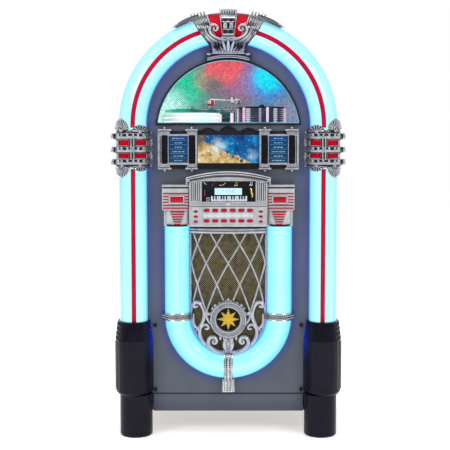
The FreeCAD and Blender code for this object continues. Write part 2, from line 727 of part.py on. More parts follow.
def button_board():
    """The circuit board behind the buttons, with one switch body under each."""
    board = box(-128, 128, BOARD_Y, BOARD_Y + 2.4, 786, 848)
    switches = [box(x - 3, x + 3, BOARD_Y - 1.2, BOARD_Y, z - 2.5, z + 2.5) for _, x, z, _ in button_places()]
    standoffs = [
        rod(3, V(x, BOARD_Y + 2.4, z), V(x, PANEL_Y, z)) for x in (-120, 120) for z in (790, 844)
    ]
    return [board.fuse(switches + standoffs).removeSplitter()]


def push_button(x, z, size):
    """A red cap with a softened face; its back rests a travel away from its switch."""
    width, height = size
    back = BOARD_Y - 1.2 - BUTTON_TRAVEL - 0.2
    cap = stadium(x, z, width, height, HOUSING_FACE - 2.2, back)
    face = stadium(x, z, width - 2, height - 2, HOUSING_FACE - 3.2, HOUSING_FACE - 2.2)
    return cap.fuse(face)


# ---- grille --------------------------------------------------------------------------------
GRILLE_HALF = U_INNER - 1.0
GRILLE_TOP = 765.0
CLOTH_Y = PANEL_Y - 3
BULGE = 44.0                     # how far the lattice swells forward of its edges
LATTICE_STEP_Z = 71.0            # height of half a diamond
LATTICE_STEP_DEG = 18.0          # turn round the swell of half a diamond
LATTICE_TOP_ROW = 746.0
MEDALLION_Z, MEDALLION_R, MEDALLION_HOLE = 428.5, 62.0, 44.0


def grille_cloth():
    """Cloth-covered board inside the U."""
    return [u_face(GRILLE_HALF - 1, GRILLE_TOP, CLOTH_Y).extrude(V(0, PANEL_Y - CLOTH_Y, 0))]


def bulged_shell(thickness):
    """A standing shell that swells forward, from edge to edge of the grille."""
    z0, height = 290.0, GRILLE_TOP - 290.0
    solids = []
    for inset in (0.0, thickness):
        oval = Part.Ellipse(
            V(GRILLE_HALF - inset, CLOTH_Y, z0), V(0, CLOTH_Y - BULGE + inset, z0), V(0, CLOTH_Y, z0)
        )
        half = Part.ArcOfEllipse(oval, 0, math.pi)
        ends = half.StartPoint, half.EndPoint
        if half.value(math.pi / 2).y > CLOTH_Y:
            half = Part.ArcOfEllipse(oval, math.pi, 2 * math.pi)
            ends = half.StartPoint, half.EndPoint
        solids.append(Part.Face(wire(half, line(ends[1], ends[0]))).extrude(V(0, 0, height)))
    return solids[0].cut(solids[1])


def lattice_x(half_steps):
    """Sideways place of a lattice crossing, counted in half diamonds from the middle."""
    angle = max(-90.0, min(90.0, half_steps * LATTICE_STEP_DEG))
    return GRILLE_HALF * math.sin(math.radians(angle))


def diamond(column, row, inset):
    """A diamond opening between four crossings, pulled in by the width of the bars."""
    z = LATTICE_TOP_ROW - row * LATTICE_STEP_Z
    left, right, mid = lattice_x(column - 1), lattice_x(column + 1), lattice_x(column)
    points = [
        (left + inset, z), (mid, z + LATTICE_STEP_Z - 2 * inset),
        (right - inset, z), (mid, z - LATTICE_STEP_Z + 2 * inset),
    ]
    return front_prism(points, -300, PANEL_Y - 1)


def grille_lattice():
    """Crossed bars over the cloth, hung from a level rail."""
    shell = bulged_shell(5)
    rail = shell.common(box(-200, 200, -300, PANEL_Y, 745, GRILLE_TOP))
    lattice = shell.common(box(-200, 200, -300, PANEL_Y, U_Z + 32, 745))
    openings = []
    for row in range(-1, 6):
        for column in range(-4, 5):
            if (column + row) % 2 == 0:
                openings.append(diamond(column, row, 3.2))
    lattice = lattice.cut(openings)
    lattice = lattice.fuse(rail)
    ring = Part.makeCylinder(MEDALLION_R + 12, 200, V(0, -350, MEDALLION_Z), V(0, 1, 0))
    lattice = lattice.cut(ring)
    edge = [box(s * (GRILLE_HALF - 2.5) - 2.5, s * (GRILLE_HALF - 2.5) + 2.5, CLOTH_Y - 8, CLOTH_Y, U_Z + 32,
                GRILLE_TOP) for s in (-1, 1)]
    lattice = lattice.fuse(edge)
    return [largest(lattice)]


def scroll_casting():
    """The medallion ring and the scrolled frame that fills the round end of the grille."""
    y0, y1 = CLOTH_Y - 20, CLOTH_Y
    outer = u_face(GRILLE_HALF, U_Z + 31, y0).extrude(V(0, y1 - y0, 0))
    inner = u_face(GRILLE_HALF - 9, U_Z + 32, y0).extrude(V(0, y1 - y0, 0))
    rim = outer.cut(inner)
    ring_y = CLOTH_Y - 32
    ring = rod(MEDALLION_R, V(0, ring_y, MEDALLION_Z), V(0, y1, MEDALLION_Z))
    knob = rod(14, V(0, ring_y, MEDALLION_Z + 56), V(0, y1, MEDALLION_Z + 56))
    stem = front_prism([(-9, 300), (9, 300), (16, 372), (-16, 372)], y0, y1)
    arms = []
    for side in (-1, 1):
        arms.append(front_prism(
            [(side * x, z) for x, z in ((58, 440), (62, 410), (96, 396), (128, 420), (134, 470), (118, 471), (96, 430))],
            y0 + 4, y1,
        ))
        arms.append(front_prism(
            [(side * x, z) for x, z in ((10, 376), (34, 366), (62, 352), (92, 352), (98, 362), (60, 376), (44, 388))],
            y0 + 4, y1,
        ))
    hole = rod(MEDALLION_HOLE, V(0, -300, MEDALLION_Z), V(0, y1 - 6, MEDALLION_Z))
    casting = rim.fuse([ring, knob, stem] + arms).cut(hole)
    return [largest(casting.common(outer.fuse([ring, knob])))]


def medallion_star():
    """Eight-pointed star on a round boss in the medallion."""
    points = []
    for i in range(16):
        radius = (39.0 if i % 4 == 0 else 33.0) if i % 2 == 0 else 17.0
        angle = math.pi / 2 + i * math.pi / 8
        points.append((radius * math.cos(angle), MEDALLION_Z + radius * math.sin(angle)))
    return [front_prism(points, CLOTH_Y - 20, CLOTH_Y - 6)]


# ---- sound ---------------------------------------------------------------------------------
def loudspeaker(x, z, hole, depth, magnet):
    """A basket with its magnet, and a cone inside it, both turned about the speaker's axis."""
    rim = hole + 12
    basket = [
        (hole, 0), (rim, 0), (rim, 5), (hole + 2, 5), (magnet * 0.9, depth * 0.62),
        (magnet, depth * 0.62), (magnet, depth), (0, depth), (0, depth * 0.62 + 4),
        (magnet * 0.6, depth * 0.62 + 4), (magnet * 0.6, depth * 0.55), (hole - 3, 4),
    ]
    cone = [
        (0, depth * 0.5), (magnet * 0.35, depth * 0.5), (hole - 8, 5), (hole - 5, 5), (hole - 5, 3),
        (hole - 9, 3), (magnet * 0.35, depth * 0.44), (0, depth * 0.4),
    ]
    centre = V(x, PANEL_BACK, z)
    return [lathe(basket, centre), lathe(cone, centre)]


def loudspeakers():
    """One bass unit behind the grille and two tweeters above it."""
    units = loudspeaker(0, WOOFER_Z, WOOFER_HOLE, 95, 58)
    for side in (-1, 1):
        units += loudspeaker(side * TWEETER_X, TWEETER_Z, TWEETER_HOLE, 34, 20)
    return units


def amplifier():
    """The amplifier chassis with its cooling fins, and the ring-shaped mains transformer."""
    floor = BASE_Z + BOARD
    chassis = box(-170, 60, 20, 210, floor, floor + 70)
    fins = [box(-165 + i * 20, -161 + i * 20, 40, 190, floor + 70, floor + 95) for i in range(12)]
    transformer = lathe([(14, 0), (50, 0), (50, 46), (14, 46)], V(150, 110, floor), V(0, 0, 1))
    return [chassis.fuse(fins), transformer]


def mains_inlet():
    """Plate with the mains socket and the frame of the power switch."""
    plate = box(INLET_X - 49.5, INLET_X + 49.5, 272, REAR_LIMIT, INLET_Z - 23.5, INLET_Z + 23.5)
    socket = box(INLET_X - 42, INLET_X - 14, 260, REAR_LIMIT + 1, INLET_Z - 12, INLET_Z + 12)
    cup = box(INLET_X - 45, INLET_X - 11, 255, 272, INLET_Z - 15, INLET_Z + 15)
    switch_hole = box(SWITCH_X - 7, SWITCH_X + 7, 261, REAR_LIMIT + 1, INLET_Z - 11, INLET_Z + 11)
    switch_cup = box(SWITCH_X - 10, SWITCH_X + 10, 257, 272, INLET_Z - 14, INLET_Z + 14)
    body = fused(plate, cup, switch_cup).cut([socket, switch_hole])
    pins = [box(INLET_X - 28 + dx - 1, INLET_X - 28 + dx + 1, 258, 274, INLET_Z - 3 + dz, INLET_Z + 3 + dz)
            for dx, dz in ((-8, -3), (8, -3), (0, 4))]
    return [body.fuse(pins).removeSplitter()]


SWITCH_X = INLET_X + 24
ROCKER_Y, ROCKER_R = 272.0, 10.4


def power_rocker():
    """A rocker that turns about a level axis; its face has a shallow V."""
    drum = rod(ROCKER_R, V(SWITCH_X - 6.4, ROCKER_Y, INLET_Z), V(SWITCH_X + 6.4, ROCKER_Y, INLET_Z))
    profile = Part.makePolygon([
        V(SWITCH_X - 7, REAR_LIMIT - 3, INLET_Z), V(SWITCH_X - 7, REAR_LIMIT + 1, INLET_Z + 14),
        V(SWITCH_X - 7, REAR_LIMIT + 9, INLET_Z), V(SWITCH_X - 7, REAR_LIMIT + 1, INLET_Z - 14),
        V(SWITCH_X - 7, REAR_LIMIT - 3, INLET_Z),
    ])
    notch = Part.Face(profile).extrude(V(14, 0, 0))
    return [drum.cut(notch)]


# ---- record player -------------------------------------------------------------------------
def turntable_base():
    """A glowing drum under the platter, and the post that carries the tone arm."""
    drum = lathe(
        [(0, 4), (112, 4), (114, 8), (114, 36), (110, 40), (0, 40)],
        V(PLATTER_X, PLATTER_Y, DECK_TOP), V(0, 0, 1),
    )
    foot = Part.makeCylinder(100, 4, V(PLATTER_X, PLATTER_Y, DECK_TOP))
    post = Part.makeCylinder(9, ARM_Z - 6 - DECK_TOP, V(ARM_X, ARM_Y, DECK_TOP))
    plinth = Part.makeCylinder(12, 8, V(ARM_X, ARM_Y, DECK_TOP))
    return [fused(drum, foot), fused(post, plinth)]


def platter():
    """The turning platter with its spindle, and a seven-inch record lying on it."""
    top = DECK_TOP + 54
    disc = lathe(
        [(0, 41), (PLATTER_R - 4, 41), (PLATTER_R, 44), (PLATTER_R, 52), (PLATTER_R - 2, 54), (0, 54)],
        V(PLATTER_X, PLATTER_Y, DECK_TOP), V(0, 0, 1),
    )
    spindle = Part.makeCylinder(3.4, 14, V(PLATTER_X, PLATTER_Y, top - 1))
    record = lathe([(3.7, 0), (RECORD_R, 0), (RECORD_R, 2), (3.7, 2)], V(PLATTER_X, PLATTER_Y, top), V(0, 0, 1))
    return [fused(disc, spindle), record]


def tonearm():
    """Hub, tube, headshell with its stylus, and counterweight, all in one swinging piece."""
    hub_centre = V(ARM_X, ARM_Y, ARM_Z)
    reach = V(HEAD_X - ARM_X, HEAD_Y - ARM_Y, 0)
    along = V(reach).normalize()
    hub = Part.makeCylinder(11, 14, V(ARM_X, ARM_Y, ARM_Z - 5.7))
    tube = rod(3.5, hub_centre - along * 40, hub_centre + reach)
    weight = rod(11, hub_centre - along * 44, hub_centre - along * 24)
    head = Part.makeBox(30, 17, 14, V(-15, -8.5, 0))
    stylus = Part.makeCone(1.0, 3.0, 14, V(8, 0, -14))
    shell = head.fuse(stylus)
    shell.rotate(V(0, 0, 0), V(0, 0, 1), math.degrees(math.atan2(along.y, along.x)))
    shell.translate(V(HEAD_X, HEAD_Y, ARM_Z - 17))
    return [fused(hub, tube, weight, shell)]


def disc_magazine():
    """A turning rack: base, core, six posts and a cap ring, with a stack of records inside."""
    centre = V(MAGAZINE_X, MAGAZINE_Y, DECK_TOP)
    up = V(0, 0, 1)
    base = lathe([(0, 1), (MAGAZINE_R, 1), (MAGAZINE_R, 9), (0, 9)], centre, up)
    core = lathe([(0, 8), (12, 8), (12, 76), (0, 76)], centre, up)
    cap = lathe([(0, 67), (MAGAZINE_R, 67), (MAGAZINE_R, 71), (0, 71)], centre, up)
    posts = []
    for i in range(6):
        angle = math.radians(30 + 60 * i)
        foot = centre + V(math.cos(angle), math.sin(angle), 0) * (MAGAZINE_R - 5) + up * 8
        posts.append(Part.makeCylinder(4, 60, foot))
    rack = fused(base, core, cap, *posts)
    records = [
        lathe([(12.4, h), (RECORD_R, h), (RECORD_R, h + 2), (12.4, h + 2)], centre, up)
        for h in [14 + 7 * i for i in range(7)]
    ]
    return [rack] + records


# ---- back door -----------------------------------------------------------------------------
def hinge_knuckles(spans):
    """Short tubes on the hinge axis, bored for the pin."""
    knuckles = []
    for z0, z1 in spans:
        tube = Part.makeCylinder(KNUCKLE_R, z1 - z0, V(HINGE_X, HINGE_Y, z0))
        bore = Part.makeCylinder(2.05, z1 - z0, V(HINGE_X, HINGE_Y, z0))
        knuckles.append(tube.cut(bore))
    return knuckles


def back_door():
    """The arched door, with the middle knuckle and the leaf of each hinge."""
    door = arch_face(CABINET_HALF, DOOR_BOTTOM, DOOR_FRONT).extrude(V(0, DOOR_BACK - DOOR_FRONT, 0))
    door = door.cut(rod(9.3, V(LOCK_X, 200, LOCK_Z), V(LOCK_X, 300, LOCK_Z)))
    parts = []
    for z in HINGE_ZS:
        parts += hinge_knuckles([(z - 12, z + 12)])
        leaf = box(CABINET_HALF - 1, HINGE_X, 273, 274.6, z - 12, z + 12)
        parts.append(leaf.cut(Part.makeCylinder(2.05, 24, V(HINGE_X, HINGE_Y, z - 12))))
    return [door.fuse(parts)]


def hinge_and_strike():
    """Hinge leaves with their outer knuckles, the pins, and the plate the lock's cam goes behind."""
    pieces = []
    for z in HINGE_ZS:
        leaf = box(CABINET_HALF, CABINET_HALF + 2, 232, 262, z - 34, z + 34)
        web = [box(CABINET_HALF, HINGE_X, 258, 268, z0, z1) for z0, z1 in ((z - 34, z - 12.3), (z + 12.3, z + 34))]
        shape = leaf.fuse(web + [k for k in hinge_knuckles([(z - 34, z - 12.3), (z + 12.3, z + 34)])])
        shape = shape.cut(Part.makeCylinder(2.05, 80, V(HINGE_X, HINGE_Y, z - 40)))
        gap = box(CABINET_HALF - 5, CABINET_HALF + 0.4, CARCASS_BACK, 290, z - 40, z + 40)
        pieces.append(shape.cut(gap))
        pin = Part.makeCylinder(2.0, 70, V(HINGE_X, HINGE_Y, z - 35))
        pieces.append(pin.fuse(Part.makeCylinder(3.4, 2, V(HINGE_X, HINGE_Y, z + 34))))
    strike = box(-INSIDE_HALF, -350, 251.5, 254, LOCK_Z - 14, LOCK_Z + 14)
    return pieces + [strike]


def door_lock():
    """Cam lock: a barrel through the door with a key slot, and a cam that stands up when open."""
    barrel = rod(9, V(LOCK_X, 250, LOCK_Z), V(LOCK_X, REAR_LIMIT, LOCK_Z))
    slot = box(LOCK_X - 1, LOCK_X + 1, REAR_LIMIT - 6, REAR_LIMIT + 1, LOCK_Z - 4, LOCK_Z + 4)
    cam = box(LOCK_X - 6, LOCK_X + 6, 247, 250, LOCK_Z - 6, LOCK_Z + 24)
    return [barrel.cut(slot).fuse(cam)]


# ---- everything, by node name --------------------------------------------------------------
PIECES = [
    side_panels, arched_roof, base_board, front_panel, plinth_board, mechanism_deck,
    lower_back_panel, legs, column_sleeves, sleeve_screws, light_tubes, red_trim_strips,
    led_strips, clamp_castings, red_lenses, crown_casting, window_pane, window_trim,
    title_frame, title_backplate, display_screens, control_housing, display_lens, button_board,
    lower_tubes, tube_bands, grille_cloth, grille_lattice, scroll_casting, medallion_star,
    loudspeakers, amplifier, mains_inlet, turntable_base, hinge_and_strike, back_door,
    backdrop_panel, door_lock, power_rocker, platter, tonearm, disc_magazine,
]


def write(name, solids):
    """Checks a node's solids and writes them as one STEP file."""
    for solid in solids:
        if not solid.isValid() or solid.Volume <= 0 or len(solid.Solids) != 1:
            print("check", name, solid.ShapeType, solid.isValid(), round(solid.Volume), len(solid.Solids))
    shape = solids[0] if len(solids) == 1 else Part.makeCompound(solids)
    shape.exportStep(os.path.join("parts", name + ".step"))


def main():
    os.makedirs("parts", exist_ok=True)
    for piece in PIECES:
        write(piece.__name__, piece())
    for name, x, z, size in button_places():
        write(name, [push_button(x, z, size)])


main()
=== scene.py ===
# %% [markdown]
# # An arch-topped jukebox, finished in Blender
# The cabinet, its tubes and every moving part arrive from the CAD model as fixed pieces. This lesson
# gives them their finishes, and adds the castings, rods, trims and printed parts that make the real
# thing look rich. Each step says what the piece is, how it could be made, and why it is made this way.

# %% Load the CAD frame
import math
import random

import bmesh
import bpy
from mathutils import Matrix, Vector


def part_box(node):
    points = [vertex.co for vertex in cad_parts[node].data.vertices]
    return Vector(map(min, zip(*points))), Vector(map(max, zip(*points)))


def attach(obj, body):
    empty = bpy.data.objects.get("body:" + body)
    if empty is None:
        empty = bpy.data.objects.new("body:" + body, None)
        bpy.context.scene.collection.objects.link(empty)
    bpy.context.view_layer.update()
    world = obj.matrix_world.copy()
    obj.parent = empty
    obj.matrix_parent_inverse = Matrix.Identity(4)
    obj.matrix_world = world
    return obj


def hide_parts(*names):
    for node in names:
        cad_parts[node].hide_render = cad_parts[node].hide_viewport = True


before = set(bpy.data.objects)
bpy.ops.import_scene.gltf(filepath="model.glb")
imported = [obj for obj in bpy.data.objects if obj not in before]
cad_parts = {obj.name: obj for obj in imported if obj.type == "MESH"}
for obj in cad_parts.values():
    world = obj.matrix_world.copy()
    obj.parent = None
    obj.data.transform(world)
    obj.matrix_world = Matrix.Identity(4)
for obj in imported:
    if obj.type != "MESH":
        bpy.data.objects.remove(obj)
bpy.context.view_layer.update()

scene = bpy.context.scene

# %% [markdown]
# ## Measures that everything hangs on
# The ornaments have to sit on the CAD pieces exactly, so the main planes are read from those pieces
# instead of being typed in again. Drawing in millimetres is easier to think in, so `mm` turns a
# millimetre point into Blender's metres.

# %% Planes and centres
def mm(x, y, z):
    return Vector((x, y, z)) / 1000


def corners(node):
    low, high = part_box(node)
    return low * 1000, high * 1000


def middle(node):
    low, high = corners(node)
    return (low + high) / 2


PANEL = corners("front_panel")[0].y
ARCH_Z = corners("side_panels")[1].z
TUBE_OUT = corners("light_tubes")[1].x
TUBE_RISE = 57
TUBE_CREST = TUBE_OUT - TUBE_RISE
TUBE_IN = TUBE_OUT - 103
CLOTH = corners("grille_cloth")[0].y
BUTTON_PROUD = 3.2
HOUSING = corners("mode_button_1")[0].y + BUTTON_PROUD
WING = HOUSING + 15
TITLE = corners("display_screens")[0].y
U_OUT = corners("lower_tubes")[1].x
U_RISE = 47
U_MID = U_OUT - U_RISE
U_BEND = corners("lower_tubes")[0].z + U_OUT
print("panel", PANEL, "arch", ARCH_Z, "bend", U_BEND)

# %% [markdown]
# ## Small modelling helpers
# Each helper adds one simple solid to an open bmesh with Blender's own operators: a softened block, an
# outline pulled into a plate, a rod, a ball, a turned ring and a tapering strand. A casting is then a
# handful of these in one mesh, the way a pattern maker builds up a pattern from sticks and beads.

# %% Blocks and plates
def soften(bm, edges, width, steps=2):
    bmesh.ops.bevel(bm, geom=edges, offset=width / 1000, offset_type="OFFSET", affect="EDGES",
                    segments=steps, profile=0.5, material=-1, clamp_overlap=True)


def edges_of(verts):
    """Each edge once. A dict keeps the order it was filled in, so every run makes the same mesh."""
    return list(dict.fromkeys(e for v in verts for e in v.link_edges))


def add_block(bm, x0, x1, y0, y1, z0, z1, edge=0.0):
    verts = bmesh.ops.create_cube(bm, size=1.0)["verts"]
    low, high = mm(min(x0, x1), min(y0, y1), min(z0, z1)), mm(max(x0, x1), max(y0, y1), max(z0, z1))
    bmesh.ops.scale(bm, vec=high - low, verts=verts)
    bmesh.ops.translate(bm, vec=(low + high) / 2, verts=verts)
    if edge:
        soften(bm, edges_of(verts), edge)


def add_plate(bm, outline, y_front, y_back, edge=0.0):
    verts = [bm.verts.new(mm(x, y_back, z)) for x, z in outline]
    face = bm.faces.new(verts)
    made = bmesh.ops.extrude_face_region(bm, geom=[face])["geom"]
    moved = [g for g in made if isinstance(g, bmesh.types.BMVert)]
    bmesh.ops.translate(bm, vec=mm(0, y_front - y_back, 0), verts=moved)
    if edge:
        rim = [e for e in edges_of(moved) if all(w in moved for w in e.verts)]
        soften(bm, rim, edge)


# %% Rods, balls and turned rings
def add_rod(bm, start, end, radius, end_radius=None, sides=16):
    run = end - start
    turn = run.to_track_quat("Z", "Y").to_matrix().to_4x4()
    place = Matrix.Translation((start + end) / 2) @ turn
    bmesh.ops.create_cone(bm, cap_ends=True, segments=sides, radius1=radius / 1000,
                          radius2=(radius if end_radius is None else end_radius) / 1000,
                          depth=run.length, matrix=place)


def add_ball(bm, centre, radius, squash=(1, 1, 1), fine=2):
    size = Matrix.Diagonal((*[s * radius / 1000 for s in squash], 1))
    bmesh.ops.create_icosphere(bm, subdivisions=fine, radius=1.0, matrix=Matrix.Translation(centre) @ size)


def add_turned(bm, profile, centre, axis="Y", steps=48):
    """A closed (radius, height) outline in millimetres, spun about an axis through centre."""
    out = Vector((1, 0, 0))
    along = Vector((0, 1, 0)) if axis == "Y" else Vector((0, 0, 1))
    verts = [bm.verts.new(centre + out * (r / 1000) + along * (h / 1000)) for r, h in profile]
    edges = [bm.edges.new((a, b)) for a, b in zip(verts, verts[1:] + verts[:1])]
    bmesh.ops.spin(bm, geom=verts + edges, cent=centre, axis=along, angle=2 * math.pi, steps=steps,
                   use_merge=True, use_duplicate=False)


# %% Strands that taper along a smooth path
def add_strand(bm, points, radii, fine=5, round_steps=2):
    curve = bpy.data.curves.new("strand", "CURVE")
    curve.dimensions, curve.resolution_u = "3D", fine
    curve.bevel_depth, curve.bevel_resolution, curve.use_fill_caps = 0.001, round_steps, True
    line = curve.splines.new("NURBS")
    line.points.add(len(points) - 1)
    if isinstance(radii, (int, float)):
        radii = [radii] * len(points)
    for i, (spot, place) in enumerate(zip(line.points, points)):
        spot.co = (*place, 1)
        t = i / max(1, len(points) - 1) * (len(radii) - 1)
        low = min(int(t), len(radii) - 2)
        spot.radius = radii[low] + (radii[low + 1] - radii[low]) * (t - low)
    line.order_u = min(4, len(points))
    line.use_endpoint_u = True
    carrier = bpy.data.objects.new("strand", curve)
    mesh = bpy.data.meshes.new_from_object(carrier)
    bm.from_mesh(mesh)
    bpy.data.objects.remove(carrier)
    bpy.data.curves.remove(curve)
    bpy.data.meshes.remove(mesh)


# %% [markdown]
# ## From bmesh to a finished piece
# Most ornaments are symmetrical, so one half is drawn and mirrored. `lay_on_tube` drapes a flat drawing
# over the glowing corner tube: each point moves back or forward with the tube's own section, so a
# casting fits it like a saddle. A skin lifts the drawing off the tube by that much. `done` cleans the
# mesh, turns its normals outwards and puts it on the body that carries it.

# %% Mirror, drape and finish
def mirror(bm):
    bmesh.ops.mirror(bm, geom=bm.verts[:] + bm.edges[:] + bm.faces[:], matrix=Matrix.Identity(4),
                     merge_dist=0.00001, axis="X")


def tube_front(x, z, skin=0.0):
    reach = math.hypot(x, max(0.0, z - ARCH_Z))
    span = (TUBE_CREST - TUBE_IN if reach < TUBE_CREST else TUBE_RISE) + skin
    share = min(1.0, abs(reach - TUBE_CREST) / span)
    beyond = max(0.0, reach - TUBE_OUT - skin)
    return PANEL - (TUBE_RISE + skin) * math.sqrt(1 - share * share) + 0.7 * beyond


def lay_on_tube(bm, skin=0.0):
    for v in bm.verts:
        v.co.y += (tube_front(v.co.x * 1000, v.co.z * 1000, skin) + skin) / 1000


def done(bm, name, material, body="cabinet", replaces=(), crease=38):
    bmesh.ops.remove_doubles(bm, verts=bm.verts, dist=0.000002)
    bmesh.ops.recalc_face_normals(bm, faces=bm.faces)
    for face in bm.faces:
        face.smooth = True
    mesh = bpy.data.meshes.new(name)
    bm.to_mesh(mesh)
    bm.free()
    mesh.set_sharp_from_angle(angle=math.radians(crease))
    mesh.materials.append(material)
    piece = bpy.data.objects.new(name, mesh)
    scene.collection.objects.link(piece)
    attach(piece, body)
    if replaces:
        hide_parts(*replaces)
    print(name, len(mesh.polygons), "faces")
    return piece


# %% [markdown]
# ## Finishes
# A finish starts as a plain Principled shader. `speckle` then adds what makes it real: a fine noise on
# the object's own coordinates that drifts the colour a little, and another that roughens the surface.
# Object coordinates are used because every piece sits at the origin, so patterns keep their true scale.
# The nodes could be placed by hand in the shader editor. A few helpers that add and link them are
# quicker to reuse, and they keep each finish down to a line or two.

# %% Shader helpers
def finish(name, colour, roughness, metallic=0.0, coat=0.0, shine=0.5):
    material = bpy.data.materials.new(name)
    material.use_nodes = True
    shader = material.node_tree.nodes["Principled BSDF"]
    shader.inputs["Base Color"].default_value = (*colour, 1)
    shader.inputs["Roughness"].default_value = roughness
    shader.inputs["Metallic"].default_value = metallic
    shader.inputs["Coat Weight"].default_value = coat
    shader.inputs["Coat Roughness"].default_value = 0.06
    shader.inputs["Specular IOR Level"].default_value = shine
    return material


MODES = {"operation", "wave_type", "feature", "data_type", "interpolation_type", "wave_profile"}


def add(material, kind, sources=(), **values):
    """A node with its inputs filled. Sources are (input, node, output), and _1=2.0 sets input 1."""
    node = material.node_tree.nodes.new("ShaderNode" + kind)
    for key, value in values.items():
        if key in MODES:
            setattr(node, key, value)
        else:
            socket = int(key[1:]) if key[1:].isdigit() else key.replace("_", " ")
            node.inputs[socket].default_value = value
    for socket, other, output in sources:
        material.node_tree.links.new(other.outputs[output], node.inputs[socket])
    return node


def feed(material, node, output, socket):
    shader = material.node_tree.nodes["Principled BSDF"]
    material.node_tree.links.new(node.outputs[output], shader.inputs[socket])


def ramp(material, node, output, stops):
    made = add(material, "ValToRGB", [(0, node, output)])
    band = made.color_ramp
    band.interpolation = "EASE"
    while len(band.elements) < len(stops):
        band.elements.new(0.5)
    for spot, (place, colour) in zip(band.elements, stops):
        spot.position, spot.color = place, (*colour, 1)
    return made


def axes(material):
    """The object's own coordinates, split into X, Y and Z."""
    return add(material, "SeparateXYZ", [(0, add(material, "TexCoord"), "Object")])


def mottle(material, scale, detail=2.0):
    return add(material, "TexNoise", [("Vector", add(material, "TexCoord"), "Object")],
               Scale=scale, Detail=detail)


def speckle(material, scale, dark, light, grain=600.0, bump=0.15, depth=0.0004, rough=None):
    here = add(material, "TexCoord")
    drift = add(material, "TexNoise", [("Vector", here, "Object")], Scale=scale, Detail=5.0, Roughness=0.6)
    feed(material, ramp(material, drift, 0, [(0.32, dark), (0.68, light)]), 0, "Base Color")
    fine = add(material, "TexNoise", [("Vector", here, "Object")], Scale=grain, Detail=3.0)
    if rough:
        spread = add(material, "MapRange", [("Value", drift, 0)], To_Min=rough[0], To_Max=rough[1])
        feed(material, spread, 0, "Roughness")
    raised = add(material, "Bump", [("Height", fine, 0)], Strength=bump, Distance=depth)
    feed(material, raised, 0, "Normal")
    return material


def base_source(material):
    return material.node_tree.nodes["Principled BSDF"].inputs["Base Color"].links[0]


def paint_hollow_shade(material, reach, dark, power=1.6):
    """Painted shade in the hollows: the colour falls to dark where the surface is closed in."""
    source = base_source(material)
    node, output = source.from_node, source.from_socket.name
    hollow = add(material, "AmbientOcclusion", Distance=reach)
    hollow.samples = 6
    deep = add(material, "Math", [(0, hollow, "AO")], operation="POWER", _1=power)
    mixed = add(material, "Mix", [(0, deep, 0), (7, node, output)], data_type="RGBA", _6=(*dark, 1))
    feed(material, mixed, 2, "Base Color")
    return material


# %% [markdown]
# ## One finish for each material
# Lacquer, black gloss, satin black, bright plating, dull plating and plastics differ mostly in how rough
# they are and how far their colour drifts. Shade gathers in the hollows of a casting, and here it is
# painted into the colour. That could be painted by hand, but darkening by ambient occlusion paints it
# for any shape, so every plated finish goes through `paint_hollow_shade`.

# %% Lacquer and blacks
GREY = speckle(finish("grey_lacquer", (0.1, 0.11, 0.14), 0.38, coat=0.05, shine=0.3), 7,
               (0.080, 0.094, 0.124), (0.096, 0.110, 0.142), grain=900, bump=0.08, rough=(0.34, 0.46))
BLACK = speckle(finish("black_gloss", (0.01, 0.01, 0.02), 0.22, shine=0.12), 9,
                (0.005, 0.005, 0.011), (0.009, 0.008, 0.018), grain=500, bump=0.05, rough=(0.14, 0.26))
SATIN = speckle(finish("black_satin", (0.02, 0.02, 0.03), 0.5, shine=0.2), 30,
                (0.006, 0.006, 0.009), (0.013, 0.013, 0.018), grain=1500, bump=0.2, rough=(0.42, 0.6))

# %% Plating
# Every finish below gets painted shade in its hollows, found by ambient occlusion.
CHROME = speckle(finish("plated_casting", (0.6, 0.61, 0.64), 0.12, metallic=1.0), 70,
                 (0.50, 0.51, 0.54), (0.80, 0.81, 0.85),
                 grain=300, bump=0.1, depth=0.0006, rough=(0.06, 0.20))
paint_hollow_shade(CHROME, 0.012, (0.012, 0.012, 0.016), 2.0)
CASTING = speckle(finish("casting_ground", (0.4, 0.41, 0.43), 0.25, metallic=0.9), 70,
                  (0.30, 0.31, 0.33), (0.48, 0.49, 0.52),
                  grain=300, bump=0.12, depth=0.0006, rough=(0.14, 0.3))
paint_hollow_shade(CASTING, 0.014, (0.010, 0.010, 0.014), 2.2)
# Painted shade: a darker copy of the plating for the crown's casting, so only the ornaments on it read as
# lit.
CROWN_SHADE_PLATING = speckle(finish("crown_plating_in_shade", (0.14, 0.145, 0.16), 0.18, metallic=1.0), 90,
                (0.06, 0.062, 0.075), (0.22, 0.225, 0.25),
                grain=300, bump=0.1, depth=0.0006, rough=(0.08, 0.24))
paint_hollow_shade(CROWN_SHADE_PLATING, 0.012, (0.006, 0.006, 0.010), 2.0)
NICKEL = speckle(finish("nickel_wire", (0.5, 0.52, 0.56), 0.3, metallic=0.6, shine=0.4), 50,
                 (0.42, 0.44, 0.48), (0.56, 0.58, 0.64),
                 grain=900, bump=0.1, depth=0.0006, rough=(0.22, 0.38))
paint_hollow_shade(NICKEL, 0.006, (0.03, 0.032, 0.04), 1.6)
SILVER = speckle(finish("silver_paint", (0.5, 0.52, 0.55), 0.4, metallic=0.3, coat=0.1, shine=0.4), 24,
                 (0.48, 0.50, 0.53), (0.60, 0.62, 0.65), grain=2500, bump=0.12, rough=(0.30, 0.44))
paint_hollow_shade(SILVER, 0.008, (0.05, 0.052, 0.06), 1.5)

